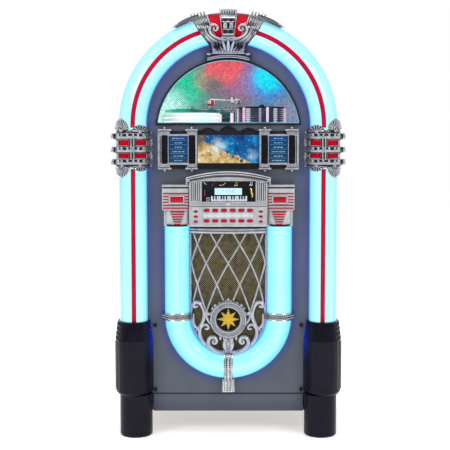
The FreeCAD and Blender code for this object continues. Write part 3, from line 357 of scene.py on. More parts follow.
# %% Plastics, gilding and small parts
RED = speckle(finish("red_plastic", (0.5, 0.0, 0.02), 0.25, coat=0.08, shine=0.25), 45,
              (0.38, 0.0, 0.010), (0.50, 0.0, 0.018), grain=700, bump=0.05, rough=(0.16, 0.3))
LENS = speckle(finish("red_lens", (0.5, 0.0, 0.02), 0.6, shine=0.06), 45,
               (0.50, 0.0, 0.010), (0.60, 0.0, 0.018), grain=700, bump=0.05, rough=(0.5, 0.6))
STRIPE = speckle(finish("red_trim", (0.5, 0.0, 0.04), 0.35, shine=0.15), 12,
                 (0.43, 0.0, 0.028), (0.51, 0.0, 0.042), grain=900, bump=0.05, rough=(0.3, 0.42))
GOLD = speckle(finish("gilt", (0.75, 0.5, 0.1), 0.25, metallic=0.75), 120,
               (0.60, 0.37, 0.05), (0.86, 0.60, 0.13), grain=800, bump=0.15, rough=(0.18, 0.34))
STEEL = speckle(finish("plated_steel", (0.45, 0.46, 0.48), 0.35, metallic=1.0), 35,
                (0.36, 0.37, 0.39), (0.52, 0.53, 0.55), grain=1200, bump=0.15, rough=(0.28, 0.45))
PAPER_CONE = speckle(finish("speaker_black", (0.03, 0.03, 0.03), 0.7), 90,
                     (0.016, 0.016, 0.017), (0.045, 0.045, 0.047), grain=1800, bump=0.4)
CIRCUIT = speckle(finish("circuit_green", (0.02, 0.1, 0.05), 0.4), 200,
                  (0.012, 0.07, 0.035), (0.03, 0.14, 0.07), grain=900, bump=0.2)
IVORY = speckle(finish("white_arm", (0.8, 0.8, 0.8), 0.25, coat=0.4), 40,
                (0.66, 0.67, 0.69), (0.84, 0.85, 0.86), grain=900, bump=0.05)
print("finishes so far", len(bpy.data.materials))

# %% [markdown]
# ## Lit plastics
# The tubes are frosted plastic with lamps behind. A real volume would be slow, so the skin itself gives
# light. Its colour follows the distance from the arch's centre line: pale cyan in the middle of the
# section and lavender where the wall curls away. Below the arch that distance is simply sideways, which
# is why the height above the bend is clipped at nought before the length is taken.

# %% Glowing tubes
def glow(material, node, output, strength):
    feed(material, node, output, "Emission Color")
    material.node_tree.nodes["Principled BSDF"].inputs["Emission Strength"].default_value = strength


def glow_along(material, axis, start, stop, stops, strength):
    """Light that changes colour along one axis, as it does with a different lamp at each end."""
    share = add(material, "MapRange", [("Value", axes(material), axis)], From_Min=start, From_Max=stop)
    glow(material, ramp(material, share, 0, stops), 0, strength)


def reach_from(material, bend, side=1):
    """Distance from an arch's centre: a radius past its bend, and sideways along its straight part."""
    parts = axes(material)
    rise = add(material, "Math", [(0, parts, "Z")], operation="SUBTRACT", _1=bend / 1000)
    clip = add(material, "Math", [(0, rise, 0)], operation="MAXIMUM" if side > 0 else "MINIMUM", _1=0.0)
    flat = add(material, "CombineXYZ", [("X", parts, "X"), ("Z", clip, 0)])
    return parts, add(material, "VectorMath", [(0, flat, 0)], operation="LENGTH")


def lit_tube(name, bend, side, inner, outer, stops):
    material = finish(name, (0.10, 0.20, 0.22), 0.22, coat=0.4)
    reach = reach_from(material, bend, side)[1]
    share = add(material, "MapRange", [("Value", reach, "Value")],
                From_Min=inner / 1000, From_Max=outer / 1000)
    glow(material, ramp(material, share, 0, stops), 0, 0.88)
    clouds = ramp(material, mottle(material, 5.0), 0, [(0.3, (0.07, 0.15, 0.17)), (0.7, (0.11, 0.21, 0.24))])
    feed(material, clouds, 0, "Base Color")
    return material


CYAN, PALE_CYAN, DEEP_BLUE = (0.34, 0.92, 1.0), (0.48, 0.98, 1.0), (0.05, 0.45, 1.0)
ARCH_GLOW = lit_tube("arch_glow", ARCH_Z, 1, TUBE_IN, TUBE_OUT, [
    (0.0, (0.03, 0.20, 0.9)), (0.02, (0.14, 0.66, 1.0)), (0.06, CYAN), (0.25, PALE_CYAN), (0.76, PALE_CYAN),
    (0.88, (0.26, 0.80, 1.0)), (0.95, (0.30, 0.56, 1.0)), (1.0, (0.60, 0.58, 1.0))])
LOWER_GLOW = lit_tube("lower_glow", U_BEND, -1, U_MID - U_RISE, U_OUT, [
    (0.0, DEEP_BLUE), (0.10, (0.24, 0.90, 1.0)), (0.5, (0.44, 1.0, 0.98)), (0.90, (0.24, 0.90, 1.0)),
    (1.0, DEEP_BLUE)])
print("tube colours run from", TUBE_IN, "to", TUBE_OUT)

# %% [markdown]
# ## Blue light on the pieces beside the tubes
# The tubes throw blue light on the lacquer and plating next to them. A render could work that out, but
# a piece on its own carries no light from its neighbours, so the light is painted into the finish as a
# tint. Each mask fades with the distance from the tube's centre and with height. On the lacquer it also
# fades with depth, so the sides and the roof keep their plain colour.


# %% Masks and tints
def fade(material, node, output, start, stop, strength=1.0):
    return add(material, "MapRange", [("Value", node, output)], interpolation_type="SMOOTHSTEP",
               From_Min=start / 1000, From_Max=stop / 1000, To_Max=strength)


def both_of(material, one, other):
    return add(material, "Math", [(0, one, 0), (1, other, 0)], operation="MULTIPLY")


def tint_over(material, mask, colour):
    below = base_source(material)
    made = add(material, "Mix", [(0, mask, 0), (6, below.from_node, below.from_socket.name)],
               data_type="RGBA", _7=(*colour, 1))
    feed(material, made, 2, "Base Color")


parts, reach = reach_from(GREY, ARCH_Z)
along_arch = both_of(GREY, fade(GREY, reach, "Value", 225, 300, 0.75), fade(GREY, parts, "Z", 400, 620))
along_arch = both_of(GREY, along_arch, fade(GREY, parts, "Y", -160, -194))
tint_over(GREY, along_arch, (0.080, 0.095, 0.25))
parts, reach = reach_from(GREY, U_BEND, -1)
round_bend = both_of(GREY, fade(GREY, reach, "Value", 268, 236, 0.8), fade(GREY, parts, "Z", 790, 740))
round_bend = both_of(GREY, round_bend, fade(GREY, parts, "Y", -188, -194))
tint_over(GREY, round_bend, (0.055, 0.070, 0.24))
# Painted shade: the lacquer darkens towards the floor, below 140 mm.
tint_over(GREY, fade(GREY, parts, "Z", 140, 90, 0.7), (0.060, 0.068, 0.094))
parts, reach = reach_from(NICKEL, U_BEND, -1)
near_bend = both_of(NICKEL, fade(NICKEL, reach, "Value", 108, 146, 0.55), fade(NICKEL, parts, "Z", 610, 540))
tint_over(NICKEL, near_bend, (0.40, 0.42, 0.70))
parts, reach = reach_from(NICKEL, ARCH_Z)
near_arch = both_of(NICKEL, fade(NICKEL, reach, "Value", 320, 285, 0.32),
                    fade(NICKEL, parts, "Z", 1300, 1340))
tint_over(NICKEL, near_arch, (0.30, 0.32, 0.62))
# Painted shade: the red lenses darken towards their tops, under the cap.
tint_over(LENS, fade(LENS, axes(LENS), "Z", 1508, 1522, 0.6), (0.20, 0.0, 0.01))
parts, reach = reach_from(BLACK, ARCH_Z)
edge_light = both_of(BLACK, fade(BLACK, reach, "Value", 296, 281), fade(BLACK, parts, "Z", 250, 400))
edge_light = both_of(BLACK, edge_light, fade(BLACK, parts, "Z", 480, 440))
blue = add(BLACK, "VectorMath", [("Scale", edge_light, 0)], operation="SCALE", _0=(0.0, 0.012, 0.34))
glow(BLACK, blue, 0, 1.0)
print("tinted: lacquer, nickel, lenses and the black gloss")

# %% [markdown]
# ## Dressing the CAD pieces
# Where the CAD shape is already right, only its material changes. One table says which finish each node
# takes. The nodes that get a richer stand-in further down aren't in it.

# %% Assign finishes
def dress(material, *nodes):
    for node in nodes:
        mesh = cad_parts[node].data
        mesh.materials.clear()
        mesh.materials.append(material)


dress(GREY, "side_panels", "arched_roof", "front_panel", "plinth_board")
dress(BLACK, "legs", "column_sleeves")
dress(SATIN, "sleeve_screws", "mechanism_deck", "title_backplate", "mains_inlet", "window_trim")
dress(ARCH_GLOW, "light_tubes", "led_strips")
dress(LOWER_GLOW, "lower_tubes")
dress(CASTING, "clamp_castings")
dress(CROWN_SHADE_PLATING, "crown_casting")
dress(NICKEL, "title_frame")
dress(CASTING, "tube_bands")
dress(SILVER, "control_housing")
dress(STRIPE, "red_trim_strips")
dress(LENS, "red_lenses")
buttons = [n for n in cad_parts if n.startswith(("select_button", "mode_button"))]
dress(RED, "power_rocker", *buttons)
dress(STEEL, "amplifier", "hinge_and_strike", "door_lock")
dress(PAPER_CONE, "loudspeakers")
dress(CIRCUIT, "button_board")
dress(IVORY, "tonearm")
print("red buttons", len(buttons))

# %% [markdown]
# ## The record chamber
# Behind the window hangs a foil-faced board, embossed with small dimples and washed by coloured lamps.
# Two crossed sine waves give the dimples, as both bump and sparkle. Each lamp's wash is a soft disc
# measured from a point on the board, and the discs are mixed one after another over plain silver.

# %% Embossed backdrop
def disc_mask(material, here, x, z, radius, soft):
    away = add(material, "VectorMath", [(0, here, "Object")], operation="MULTIPLY", _1=(1, 0, 1))
    far = add(material, "VectorMath", [(0, away, 0)], operation="DISTANCE", _1=(x / 1000, 0, z / 1000))
    return add(material, "MapRange", [("Value", far, "Value")], interpolation_type="SMOOTHSTEP",
               From_Min=radius / 1000, From_Max=(radius - soft) / 1000)


def mix_over(material, under, mask, colour):
    made = add(material, "Mix", [(0, mask, 0)], data_type="RGBA", _7=(*colour, 1))
    if isinstance(under, tuple):
        made.inputs[6].default_value = (*under, 1)
    else:
        material.node_tree.links.new(under.outputs[2], made.inputs[6])
    return made


FOIL = finish("embossed_foil", (0.05, 0.05, 0.06), 0.35, shine=0.2)
here = add(FOIL, "TexCoord")
dimples = []
for turn in (45, 135):
    grid = add(FOIL, "Mapping", [("Vector", here, "Object")], Rotation=(0, math.radians(turn), 0))
    dimples.append(add(FOIL, "TexWave", [("Vector", grid, 0)], Scale=46.0, wave_profile="SIN"))
crossed = add(FOIL, "Math", [(0, dimples[0], 1), (1, dimples[1], 1)], operation="MULTIPLY")
raised = add(FOIL, "Bump", [("Height", crossed, 0)], Strength=0.8, Distance=0.003)
feed(FOIL, raised, 0, "Normal")
wash = mix_over(FOIL, (0.12, 0.20, 0.21), disc_mask(FOIL, here, -270, 1220, 210, 190), (0.22, 0.56, 0.46))
for x, z, radius, soft, colour in (
    (-180, 1305, 130, 100, (0.02, 0.58, 0.33)), (-262, 1215, 135, 115, (0.52, 0.95, 0.86)),
    (-95, 1335, 70, 60, (0.36, 0.32, 0.20)), (50, 1350, 165, 130, (0.36, 0.13, 0.26)),
    (-18, 1392, 100, 46, (0.80, 0.11, 0.13)), (-60, 1310, 60, 56, (0.18, 0.15, 0.16)),
    (72, 1318, 60, 56, (0.36, 0.15, 0.28)), (168, 1330, 140, 120, (0.03, 0.30, 0.85)),
    (163, 1346, 82, 52, (0.0, 0.78, 1.0)), (250, 1200, 110, 100, (0.22, 0.26, 0.42)),
):
    wash = mix_over(FOIL, wash, disc_mask(FOIL, here, x, z, radius, soft), colour)
# Painted highlights: the lamp light is brighter on the dimples' crests and varies cell by cell, as glints on
# the foil.
glint = add(FOIL, "MapRange", [("Value", crossed, 0)], From_Min=0.04, From_Max=0.7, To_Min=0.66, To_Max=1.55)
spark = add(FOIL, "TexVoronoi", [("Vector", here, "Object")], Scale=120.0, feature="F1")
glint_cells = add(FOIL, "MapRange", [("Value", spark, "Color")], To_Min=0.70, To_Max=1.30)
sparkle = both_of(FOIL, glint, glint_cells)
lit = add(FOIL, "VectorMath", [(0, wash, 2), ("Scale", sparkle, 0)], operation="SCALE")
glow(FOIL, lit, 0, 1.15)
dress(FOIL, "backdrop_panel")

# %% [markdown]
# ## Window and lit drum
# Real glass would bend every ray, but a pane this thin only shows a faint sheen over what is behind it.
# So the pane is nearly transparent by alpha, with smears in its roughness. The drum's plastic is lit
# from inside, and its colour changes from left to right, towards the pink lamps.

# %% Window glass and lit white plastic
GLASS = finish("window_glass", (0.06, 0.08, 0.09), 0.03, shine=0.2)
GLASS.node_tree.nodes["Principled BSDF"].inputs["Alpha"].default_value = 0.06
smear = add(GLASS, "MapRange", [("Value", mottle(GLASS, 6.0, 4.0), 0)], To_Min=0.01, To_Max=0.08)
feed(GLASS, smear, 0, "Roughness")
dress(GLASS, "window_pane")
DRUM = finish("lit_drum", (0.6, 0.66, 0.64), 0.3, coat=0.3)
glow_along(DRUM, "X", -0.26, -0.02, [(0.0, (0.70, 0.98, 0.90)), (0.35, (0.92, 1.0, 0.98)),
                                     (0.75, (0.62, 0.98, 1.0)), (1.0, (0.98, 0.66, 0.92))], 0.75)
print("window and drum plastics ready")

# %% [markdown]
# ## Records and their player
# The drum under the turntable is lit, so it is a stack of turned steps with a narrow joint between
# them. Records are turned discs. Their grooves are far too fine to model, so rings of bump follow the
# distance from the spindle. The magazine has a thin disc every few millimetres, and pink-lit posts.

# %% Grooved vinyl
def vinyl(name, x, y, colour, sheen):
    material = finish(name, colour, 0.25, coat=0.5)
    place = add(material, "TexCoord")
    centred = add(material, "Mapping", [("Vector", place, "Object")], Location=(-x / 1000, -y / 1000, 0))
    rings = add(material, "TexWave", [("Vector", centred, 0)], wave_type="RINGS", Scale=260.0)
    rings.rings_direction = "Z"
    feed(material, add(material, "Bump", [("Height", rings, 1)], Strength=0.35, Distance=0.0003), 0, "Normal")
    # Painted sheen: the colour drifts in streaks from the disc's own colour to a lighter sheen colour.
    sheen_streaks = add(material, "TexNoise", [("Vector", centred, 0)], Scale=14.0, Detail=2.0)
    feed(material, ramp(material, sheen_streaks, 0, [(0.35, colour), (0.7, sheen)]), 0, "Base Color")
    return material


PLATTER = middle("platter")
deck_top = corners("mechanism_deck")[1].z
# Painted light: the black record glows green, most on the left, where it reflects the chamber's lamps.
PLATTER_LAMPLIT = vinyl("platter_lamplight", PLATTER.x, PLATTER.y, (0.006, 0.02, 0.016), (0.01, 0.16, 0.10))
glow_along(PLATTER_LAMPLIT, "X", -0.25, -0.03, [(0.0, (0.25, 0.85, 0.62)), (0.3, (0.0, 0.50, 0.30)),
                                              (0.6, (0.0, 0.10, 0.08)), (1.0, (0.0, 0.02, 0.04))], 0.85)
dress(PLATTER_LAMPLIT, "platter")
print("platter centre", PLATTER)

# %% Lit drum and arm post
POST_X, POST_Y, POST_TOP = 14, 35, 1192
spindle = mm(PLATTER.x, PLATTER.y, deck_top)
bm = bmesh.new()
for low, high, radius in ((3, 8, 108), (9, 22, 113.5), (23.5, 37, 113.5), (37.5, 40.4, 108)):
    section = [(0, low), (radius - 1, low), (radius, low + 1),
               (radius, high - 1), (radius - 1, high), (0, high)]
    add_turned(bm, section, spindle, "Z", 64)
# Painted light: the lower part of the arm post glows pink with the drum's material, as the chamber lamps
# light it.
add_rod(bm, mm(POST_X, POST_Y, deck_top), mm(POST_X, POST_Y, POST_TOP), 6.5, 6.5)
add_turned(bm, [(9, 0), (14, 0), (14, 5), (11, 9), (9, 9)], mm(POST_X, POST_Y, deck_top), "Z", 32)
done(bm, "lit_turntable_drum", DRUM, replaces=["turntable_base"])

# %% Record label
LABEL = speckle(finish("record_label", (0.7, 0.1, 0.1), 0.5), 200,
                (0.55, 0.06, 0.05), (0.75, 0.16, 0.08), bump=0.1)
bm = bmesh.new()
add_turned(bm, [(3.8, 56.1), (27, 56.1), (27, 56.5), (3.8, 56.5)], spindle, "Z", 40)
done(bm, "record_label", LABEL, "platter_body")

# %% [markdown]
# ## The magazine
# The magazine is a drum of discs on a dark core, between a base and a lid. Seen through the window, the
# lamps draw light and dark bands across it. Those bands are in the discs' glow, from left to right,
# because lamps in the chamber would also light the arm and the foil.

# %% Record magazine
MAG = middle("disc_magazine")
hub = mm(MAG.x, MAG.y, deck_top)
DISC_STEEL = vinyl("magazine_discs", MAG.x, MAG.y, (0.03, 0.035, 0.07), (0.16, 0.17, 0.26))
glow_along(DISC_STEEL, "X", 0.03, 0.225, [
    (0.0, (0.02, 0.02, 0.05)), (0.17, (0.02, 0.02, 0.05)), (0.20, (0.95, 0.92, 1.0)),
    (0.25, (0.95, 0.92, 1.0)), (0.28, (0.03, 0.04, 0.09)), (0.42, (0.03, 0.04, 0.09)),
    (0.45, (0.85, 0.88, 0.98)), (0.49, (0.03, 0.04, 0.12)), (0.70, (0.02, 0.03, 0.10)),
    (0.73, (0.90, 0.92, 1.0)), (0.77, (0.90, 0.92, 1.0)), (0.80, (0.05, 0.06, 0.12)),
    (0.94, (0.42, 0.38, 0.50)), (1.0, (0.02, 0.02, 0.05))], 0.85)
bright, black = bmesh.new(), bmesh.new()
mag_top = corners("disc_magazine")[1].z - deck_top
lid = mag_top - 11
DISCS = 7
add_turned(black, [(0, 1), (97, 1), (98, 2), (98, 6), (97, 7), (0, 7)], hub, "Z", 56)
lid_section = [(0, lid - 2.5), (96, lid - 2.5), (97, lid - 1.5), (97, lid - 0.5), (96, lid), (0, lid)]
add_turned(black, lid_section, hub, "Z", 56)
add_turned(black, [(0, lid), (9, lid), (9, mag_top - 1), (8, mag_top), (0, mag_top)], hub, "Z", 24)
add_turned(black, [(0, 6), (70, 6), (70, lid - 2), (0, lid - 2)], hub, "Z", 40)
for i in range(DISCS):
    low = 9 + i * (lid - 12) / DISCS
    disc = [(78, low), (88, low), (90, low + 1), (90, low + 3.2), (88, low + 4.2), (78, low + 4.2)]
    add_turned(bright, disc, hub, "Z", 56)
    # The black rings between the discs are painted shade in the gaps.
    add_turned(black, [(69, low + 4.4), (86, low + 4.4), (86, low + 7.2), (69, low + 7.2)], hub, "Z", 48)
done(bright, "magazine_discs", DISC_STEEL, "magazine_body", ["disc_magazine"])
done(black, "magazine_core_and_gap_shade", SATIN, "magazine_body")

# %% Lit posts of the magazine
PINK = finish("lit_post", (0.5, 0.3, 0.4), 0.3, coat=0.3)
tint = ramp(PINK, mottle(PINK, 22.0), 0, [(0.35, (0.72, 0.34, 0.70)), (0.6, (0.90, 0.80, 0.95))])
glow(PINK, tint, 0, 0.7)
bm = bmesh.new()
for i in range(6):
    turn = math.radians(42 + 60 * i)
    x, y = MAG.x + 92 * math.cos(turn), MAG.y + 92 * math.sin(turn)
    add_rod(bm, mm(x, y, deck_top + 7), mm(x, y, deck_top + lid - 2.5), 5)
done(bm, "magazine_posts", PINK, "magazine_body")

# %% [markdown]
# ## Loader and arm
# Behind the arm stands the mechanism that carries a disc to the platter. Little of it shows: a dark
# bracket with cross rods, and a few bent wires. Blocks and rods give it enough depth to be read as
# machinery. The arm gets a red cap over its cartridge and a steel cap over its pivot, which ride on
# the arm's body, so they swing with it.

# %% Loader bracket behind the arm
GREEN_METAL = speckle(finish("green_bracket", (0.02, 0.12, 0.09), 0.35, metallic=0.4), 60,
                      (0.004, 0.05, 0.045), (0.03, 0.22, 0.16), grain=500, bump=0.2)
bm = bmesh.new()
add_block(bm, -26, 24, 88, 96, deck_top, deck_top + 54, 2)
add_block(bm, -30, -22, 80, 100, deck_top, deck_top + 62, 2)
add_block(bm, 18, 26, 80, 100, deck_top, deck_top + 50, 2)
for z in (14, 28, 42):
    add_rod(bm, mm(-22, 84, deck_top + z), mm(20, 84, deck_top + z), 3)
add_turned(bm, [(0, 0), (11, 0), (11, 5), (0, 5)], mm(-2, 80, deck_top + 36), "Y", 24)
done(bm, "loader_bracket", GREEN_METAL)
bm = bmesh.new()
add_rod(bm, mm(POST_X, POST_Y, POST_TOP - 1), mm(POST_X, POST_Y, 1233), 3.6)
add_turned(bm, [(0, 0), (8, 0), (8, 3), (5, 6), (0, 6)], mm(POST_X, POST_Y, POST_TOP), "Z", 24)
add_rod(bm, mm(-44, 84, deck_top), mm(-44, 84, deck_top + 60), 2.2)
add_rod(bm, mm(-60, 84, deck_top + 60), mm(28, 84, deck_top + 60), 2.2)
hook = ((-60, 84, 60), (-66, 80, 52), (-60, 78, 44), (-52, 80, 50))
add_strand(bm, [mm(x, y, deck_top + z) for x, y, z in hook], 1.8)
done(bm, "loader_wires", NICKEL)

# %% Tone arm details
arm_top = corners("tonearm")[1].z
bm = bmesh.new()
add_block(bm, -79, -54, -97, -73, arm_top - 34, arm_top - 12, 3)
done(bm, "cartridge_cap", RED, "arm_body")
bm = bmesh.new()
add_turned(bm, [(9, 0), (12.5, 0), (12.5, 3), (11, 5), (0, 5), (0, 3)], mm(POST_X, POST_Y, 1246), "Z", 28)
done(bm, "tonearm_cap", STEEL, "arm_body")

# %% [markdown]
# ## The window's lit edge
# The edge of the window catches the light of the chamber, so a thin lit line runs round it and along its
# sill. It could be a bevelled ring, but a strand along an arc is simpler. One helper draws the arc's
# points, and later pieces use it too.

# %% Window seal
def arc_points(radius, centre_z, start_deg, end_deg, y, count=24, x=0.0):
    turns = [math.radians(start_deg + (end_deg - start_deg) * i / count) for i in range(count + 1)]
    return [mm(x + radius * math.cos(t), y, centre_z + radius * math.sin(t)) for t in turns]


EDGE_LIT = finish("lit_glass_edge", (0.05, 0.10, 0.16), 0.3)
tint = ramp(EDGE_LIT, mottle(EDGE_LIT, 7.0), 0, [(0.35, (0.06, 0.14, 0.42)), (0.62, (0.30, 0.72, 0.95))])
glow(EDGE_LIT, tint, 0, 0.6)
WINDOW_Z = 1114.0
WINDOW_R = corners("window_trim")[1].z - WINDOW_Z - 5
sill = deck_top + 2
low_turn = math.degrees(math.asin((sill - WINDOW_Z) / WINDOW_R))
bm = bmesh.new()
add_strand(bm, arc_points(WINDOW_R - 1, WINDOW_Z, low_turn, 180 - low_turn, PANEL - 4), 1.6)
add_rod(bm, mm(-WINDOW_R + 4, PANEL - 3, sill), mm(WINDOW_R - 4, PANEL - 3, sill), 1.8)
done(bm, "window_seal", EDGE_LIT)

# %% [markdown]
# ## Clamps on the corner tubes
# Each clamp is a casting with a ribbed shell at every corner, like a scallop. The CAD piece already has
# the saddle and bolts. The shells are drawn flat around a root point, as strands that widen towards a
# beaded rim, and the whole drawing is then laid on the tube. A black ball behind the ribs of each shell
# is painted shade: it stands for the shade in the gaps between them.

# %% Scallop shells and rosettes
def add_bar(bm, x0, x1, z0, z1, lift, back, cuts=7):
    """A flat bar with enough cuts along it to bend round the tube once it is draped."""
    verts = bmesh.ops.create_cube(bm, size=1.0)["verts"]
    bmesh.ops.scale(bm, vec=mm(x1 - x0, back - lift, z1 - z0), verts=verts)
    bmesh.ops.translate(bm, vec=mm((x0 + x1) / 2, (lift + back) / 2, (z0 + z1) / 2), verts=verts)
    along = [e for e in edges_of(verts) if abs(e.verts[0].co.x - e.verts[1].co.x) > 0.0001]
    bmesh.ops.subdivide_edges(bm, edges=along, cuts=cuts, use_grid_fill=True)


def add_shell(bm, dark, x, z, up, width, height, ribs, lift=-9.0, pointed=False):
    # The black ball behind the ribs is painted shade for the gaps between them.
    add_ball(dark, mm(x, lift, z + up * height * 0.3), 1.0, (width * 0.86, 4.6, height * 0.62), 3)
    for i in range(ribs):
        turn = math.radians(-78 + 156 * i / (ribs - 1))
        rise = (1 - abs(turn) / (math.pi / 2)) ** 0.7 if pointed else math.cos(turn)
        dx, dz = width * math.sin(turn), up * height * rise
        tip = mm(x + dx, lift - 1, z + dz)
        middle = mm(x + dx * 0.55, lift - 5, z + dz * 0.5)
        add_strand(bm, [mm(x, lift - 3, z), middle, tip], [1.2, width * 0.075, width * 0.10], 3, 1)
        add_ball(bm, tip, width * 0.13, fine=1)
    add_ball(bm, mm(x, lift - 4, z), width * 0.26)


def add_rosette(bm, x, z, radius, lift=-11.0, petals=8):
    add_turned(bm, [(radius * 0.8, 3), (radius, 3), (radius, -2), (radius * 0.86, -4), (radius * 0.72, -1)],
               mm(x, lift, z), "Y", 28)
    add_ball(bm, mm(x, lift - 1, z), radius * 0.34)
    for i in range(petals):
        turn = 2 * math.pi * i / petals
        add_ball(bm, mm(x + radius * 0.56 * math.cos(turn), lift, z + radius * 0.56 * math.sin(turn)),
                 radius * 0.2, fine=1)


# %% Clamp shells
shells, shell_shade = bmesh.new(), bmesh.new()
add_shell(shells, shell_shade, 386, 1118, 1, 27, 43, 11, pointed=True)
add_shell(shells, shell_shade, 316, 1114, 1, 24, 23, 7)
add_shell(shells, shell_shade, 383, 994, -1, 27, 44, 11, pointed=True)
add_shell(shells, shell_shade, 316, 994, -1, 24, 20, 7)
add_bar(shells, 326, 364, 1108, 1121, -8, -1)
add_bar(shells, 326, 364, 986, 999, -8, -1)
for x in (332, 340, 350, 358):
    for z in (1117, 990):
        add_ball(shells, mm(x, -9, z), 3.4, fine=1)
add_rosette(shells, 389, 1124, 11, -16)
add_rosette(shells, 385, 986, 11, -16)
for bm in (shells, shell_shade):
    lay_on_tube(bm, 8)
    mirror(bm)
done(shells, "clamp_shells", NICKEL)
done(shell_shade, "clamp_shell_shade", SATIN)

# %% [markdown]
# ## Bars across each clamp
# Three bars cross each clamp, with slots between them and a wire frame round each opening. The slots are
# painted shade: thin black strips between the bars. A bar is a block with cuts along its length. The cuts
# let it bend round the tube when it is draped, where a plain block would stay straight and poke out at
# both ends.

# %% Bars, slots and knobs
BAR_HEIGHTS = (1099.5, 1051, 1006.5)
proud = corners("clamp_castings")[0].y - (PANEL - TUBE_RISE)
# The black strips are painted shade in the slots between the bars and beside the end knobs.
bars, slot_shade = bmesh.new(), bmesh.new()
for z in BAR_HEIGHTS:
    add_bar(bars, 284, 411, z - 9.5, z, proud - 2.5, -4)
    add_bar(bars, 286, 411, z + 8.6, z + 10.2, proud - 1.8, -4)
    add_bar(slot_shade, 284, 412, z - 12.8, z - 10.4, proud - 1.4, -4)
    add_bar(slot_shade, 286, 411, z + 0.8, z + 8.0, proud - 1.0, -4)
    for x in (396, 383, 361, 340, 322, 304):
        add_bar(bars, x - 3.6, x + 3.6, z - 0.5, z + 9.2, proud - 3.2, -8, cuts=1)
    for x in (371, 314):
        add_bar(slot_shade, x - 5.0, x + 5.0, z - 1.5, z + 6.5, proud - 3.6, -8, cuts=1)
for x in (333, 343, 353):
    add_bar(slot_shade, x - 1.3, x + 1.3, 1017, 1091, proud - 1.2, -4, cuts=1)
for x in (338, 348):
    add_bar(bars, x - 2.2, x + 2.2, 1014, 1093, proud - 2.2, -4, cuts=1)
for bm in (bars, slot_shade):
    lay_on_tube(bm, -proud)
for x0, x1 in ((295, 333), (354, 397)):
    for z0, z1 in ((1018.5, 1039), (1064, 1087)):
        corner = [(x0, z0), (x1, z0), (x1, z1), (x0, z1)]
        for (ax, az), (bx, bz) in zip(corner, corner[1:] + corner[:1]):
            edge = [(ax + (bx - ax) * i / 5, az + (bz - az) * i / 5) for i in range(6)]
            add_strand(bars, [mm(x, tube_front(x, z, 10), z) for x, z in edge], 1.8, 1, 1)
flange = [(280, 998), (292, 992), (292, 1108), (280, 1100), (277, 1088), (280, 1052), (277, 1012)]
add_plate(bars, flange, PANEL - 5, PANEL, 1.5)
for z in (1075, 1029):
    for dx, dz in ((0, 6), (-4, -3), (4, -3)):
        add_turned(bars, [(3.2, 0), (5.2, 0), (5.2, -3), (3.2, -3)], mm(284 + dx, PANEL - 2, z + dz), "Y", 14)
for z in BAR_HEIGHTS:
    add_block(bars, 415.5, 425.8, -222, -196, z - 10.5, z + 10.5, 2.5)
    add_block(slot_shade, 409, 417, -220, -198, z - 8, z + 8, 1)
    for dx, dz in ((3.5, 0), (7, 12), (7, -12)):
        add_ball(bars, mm(276 + dx, PANEL - 3, z + dz), 5.0, (0.8, 0.7, 1.2), 2)
for bm in (bars, slot_shade):
    mirror(bm)
done(bars, "clamp_bars", NICKEL)
done(slot_shade, "clamp_slot_shade", SATIN)

# %% [markdown]
# ## The crown
# The crown is the showpiece: a fluted keystone between two red lenses, a fan of feathers on each side,
# scrolls at its waist and a stepped foot over the window. A sculptor would carve it in one lump. Here
# the raised lines are strands laid on the tube over the CAD casting, and blocks and balls in satin black
# are painted shade, where the deepest hollows lie in shade.

# %% Keystone and scrolls
def round_arch(radius, from_top_deg, lift):
    turn = math.radians(from_top_deg)
    return mm(radius * math.sin(turn), lift, ARCH_Z + radius * math.cos(turn))


def draped_strand(bm, path, lift, radii, fine=5):
    add_strand(bm, [mm(x, lift, z) for x, z in path], radii, fine, 3)


bm, dark = bmesh.new(), bmesh.new()
lens_edges = ([(20, 1447), (21, 1470), (25, 1500), (29, 1533)],
              [(40, 1448), (60, 1469), (68, 1500), (77, 1534)])
for path in lens_edges:
    draped_strand(bm, path, -9, 1.8)
for z, half, radius in ((1519, 24, 4.4), (1503, 21, 2.2), (1476, 19, 2.0), (1459, 20, 3.0), (1449, 24, 2.4)):
    draped_strand(bm, [(i * half / 3, z) for i in range(4)], -17, radius)
add_block(bm, 4, 17, -21, -12, 1479, 1499, 1.5)
# Painted shade: black blocks and balls in the deepest hollows of the keystone and scrolls.
add_block(dark, 5.5, 15.5, -20, -12, 1505, 1514.5, 1)
add_block(dark, 6.5, 14.5, -20, -12, 1463, 1473, 1)
curl = [(6, 1439), (20, 1441), (40, 1446), (58, 1455), (68, 1470), (66, 1486), (54, 1494),
        (41, 1490), (36, 1480), (41, 1472), (50, 1471), (54, 1478), (49, 1483)]
draped_strand(bm, curl, -18, [4.5, 5.0, 5.2, 4.8, 4.2, 3.4, 2.6], 6)
draped_strand(bm, [(18, 1431), (38, 1432), (60, 1442), (78, 1462), (84, 1480)], -16, [3, 5, 5, 4, 1.5])
draped_strand(bm, [(28, 1423), (46, 1424), (64, 1434), (80, 1452), (92, 1474)], -14,
              [2.5, 4.5, 4.5, 3.5, 1.2])
for i in range(5):
    turn = math.radians(150 - 42 * i)
    add_ball(bm, mm(53 + 13 * math.cos(turn), -19, 1481 + 13 * math.sin(turn)), 3.0, fine=1)
for path in ([(4, 1440), (12, 1430), (16, 1412)], [(10, 1441), (26, 1432), (34, 1414)]):
    draped_strand(bm, path, -15, [1.8, 4.2, 1.6])
knobs = ((0, 1421, (7, 5, 17)), (11, 1413, (5, 4, 11)), (0, 1443, (8, 6, 5)),
         (73, 1484, (5, 5, 5)), (60, 1497, (3.6, 3, 3.6)), (50, 1407, (6, 4, 4)))
for x, z, size in knobs:
    add_ball(bm, mm(x, -18, z), 1.0, size)
for x, z in ((26, 1409), (42, 1413), (54, 1420)):
    add_ball(dark, mm(x, -13, z), 5, (1.5, 0.8, 0.9))
lay_on_tube(bm, 7)
mirror(bm)
done(bm, "crown_scrolls", NICKEL)
lay_on_tube(dark, 7)
mirror(dark)
done(dark, "crown_hollow_shade", SATIN)
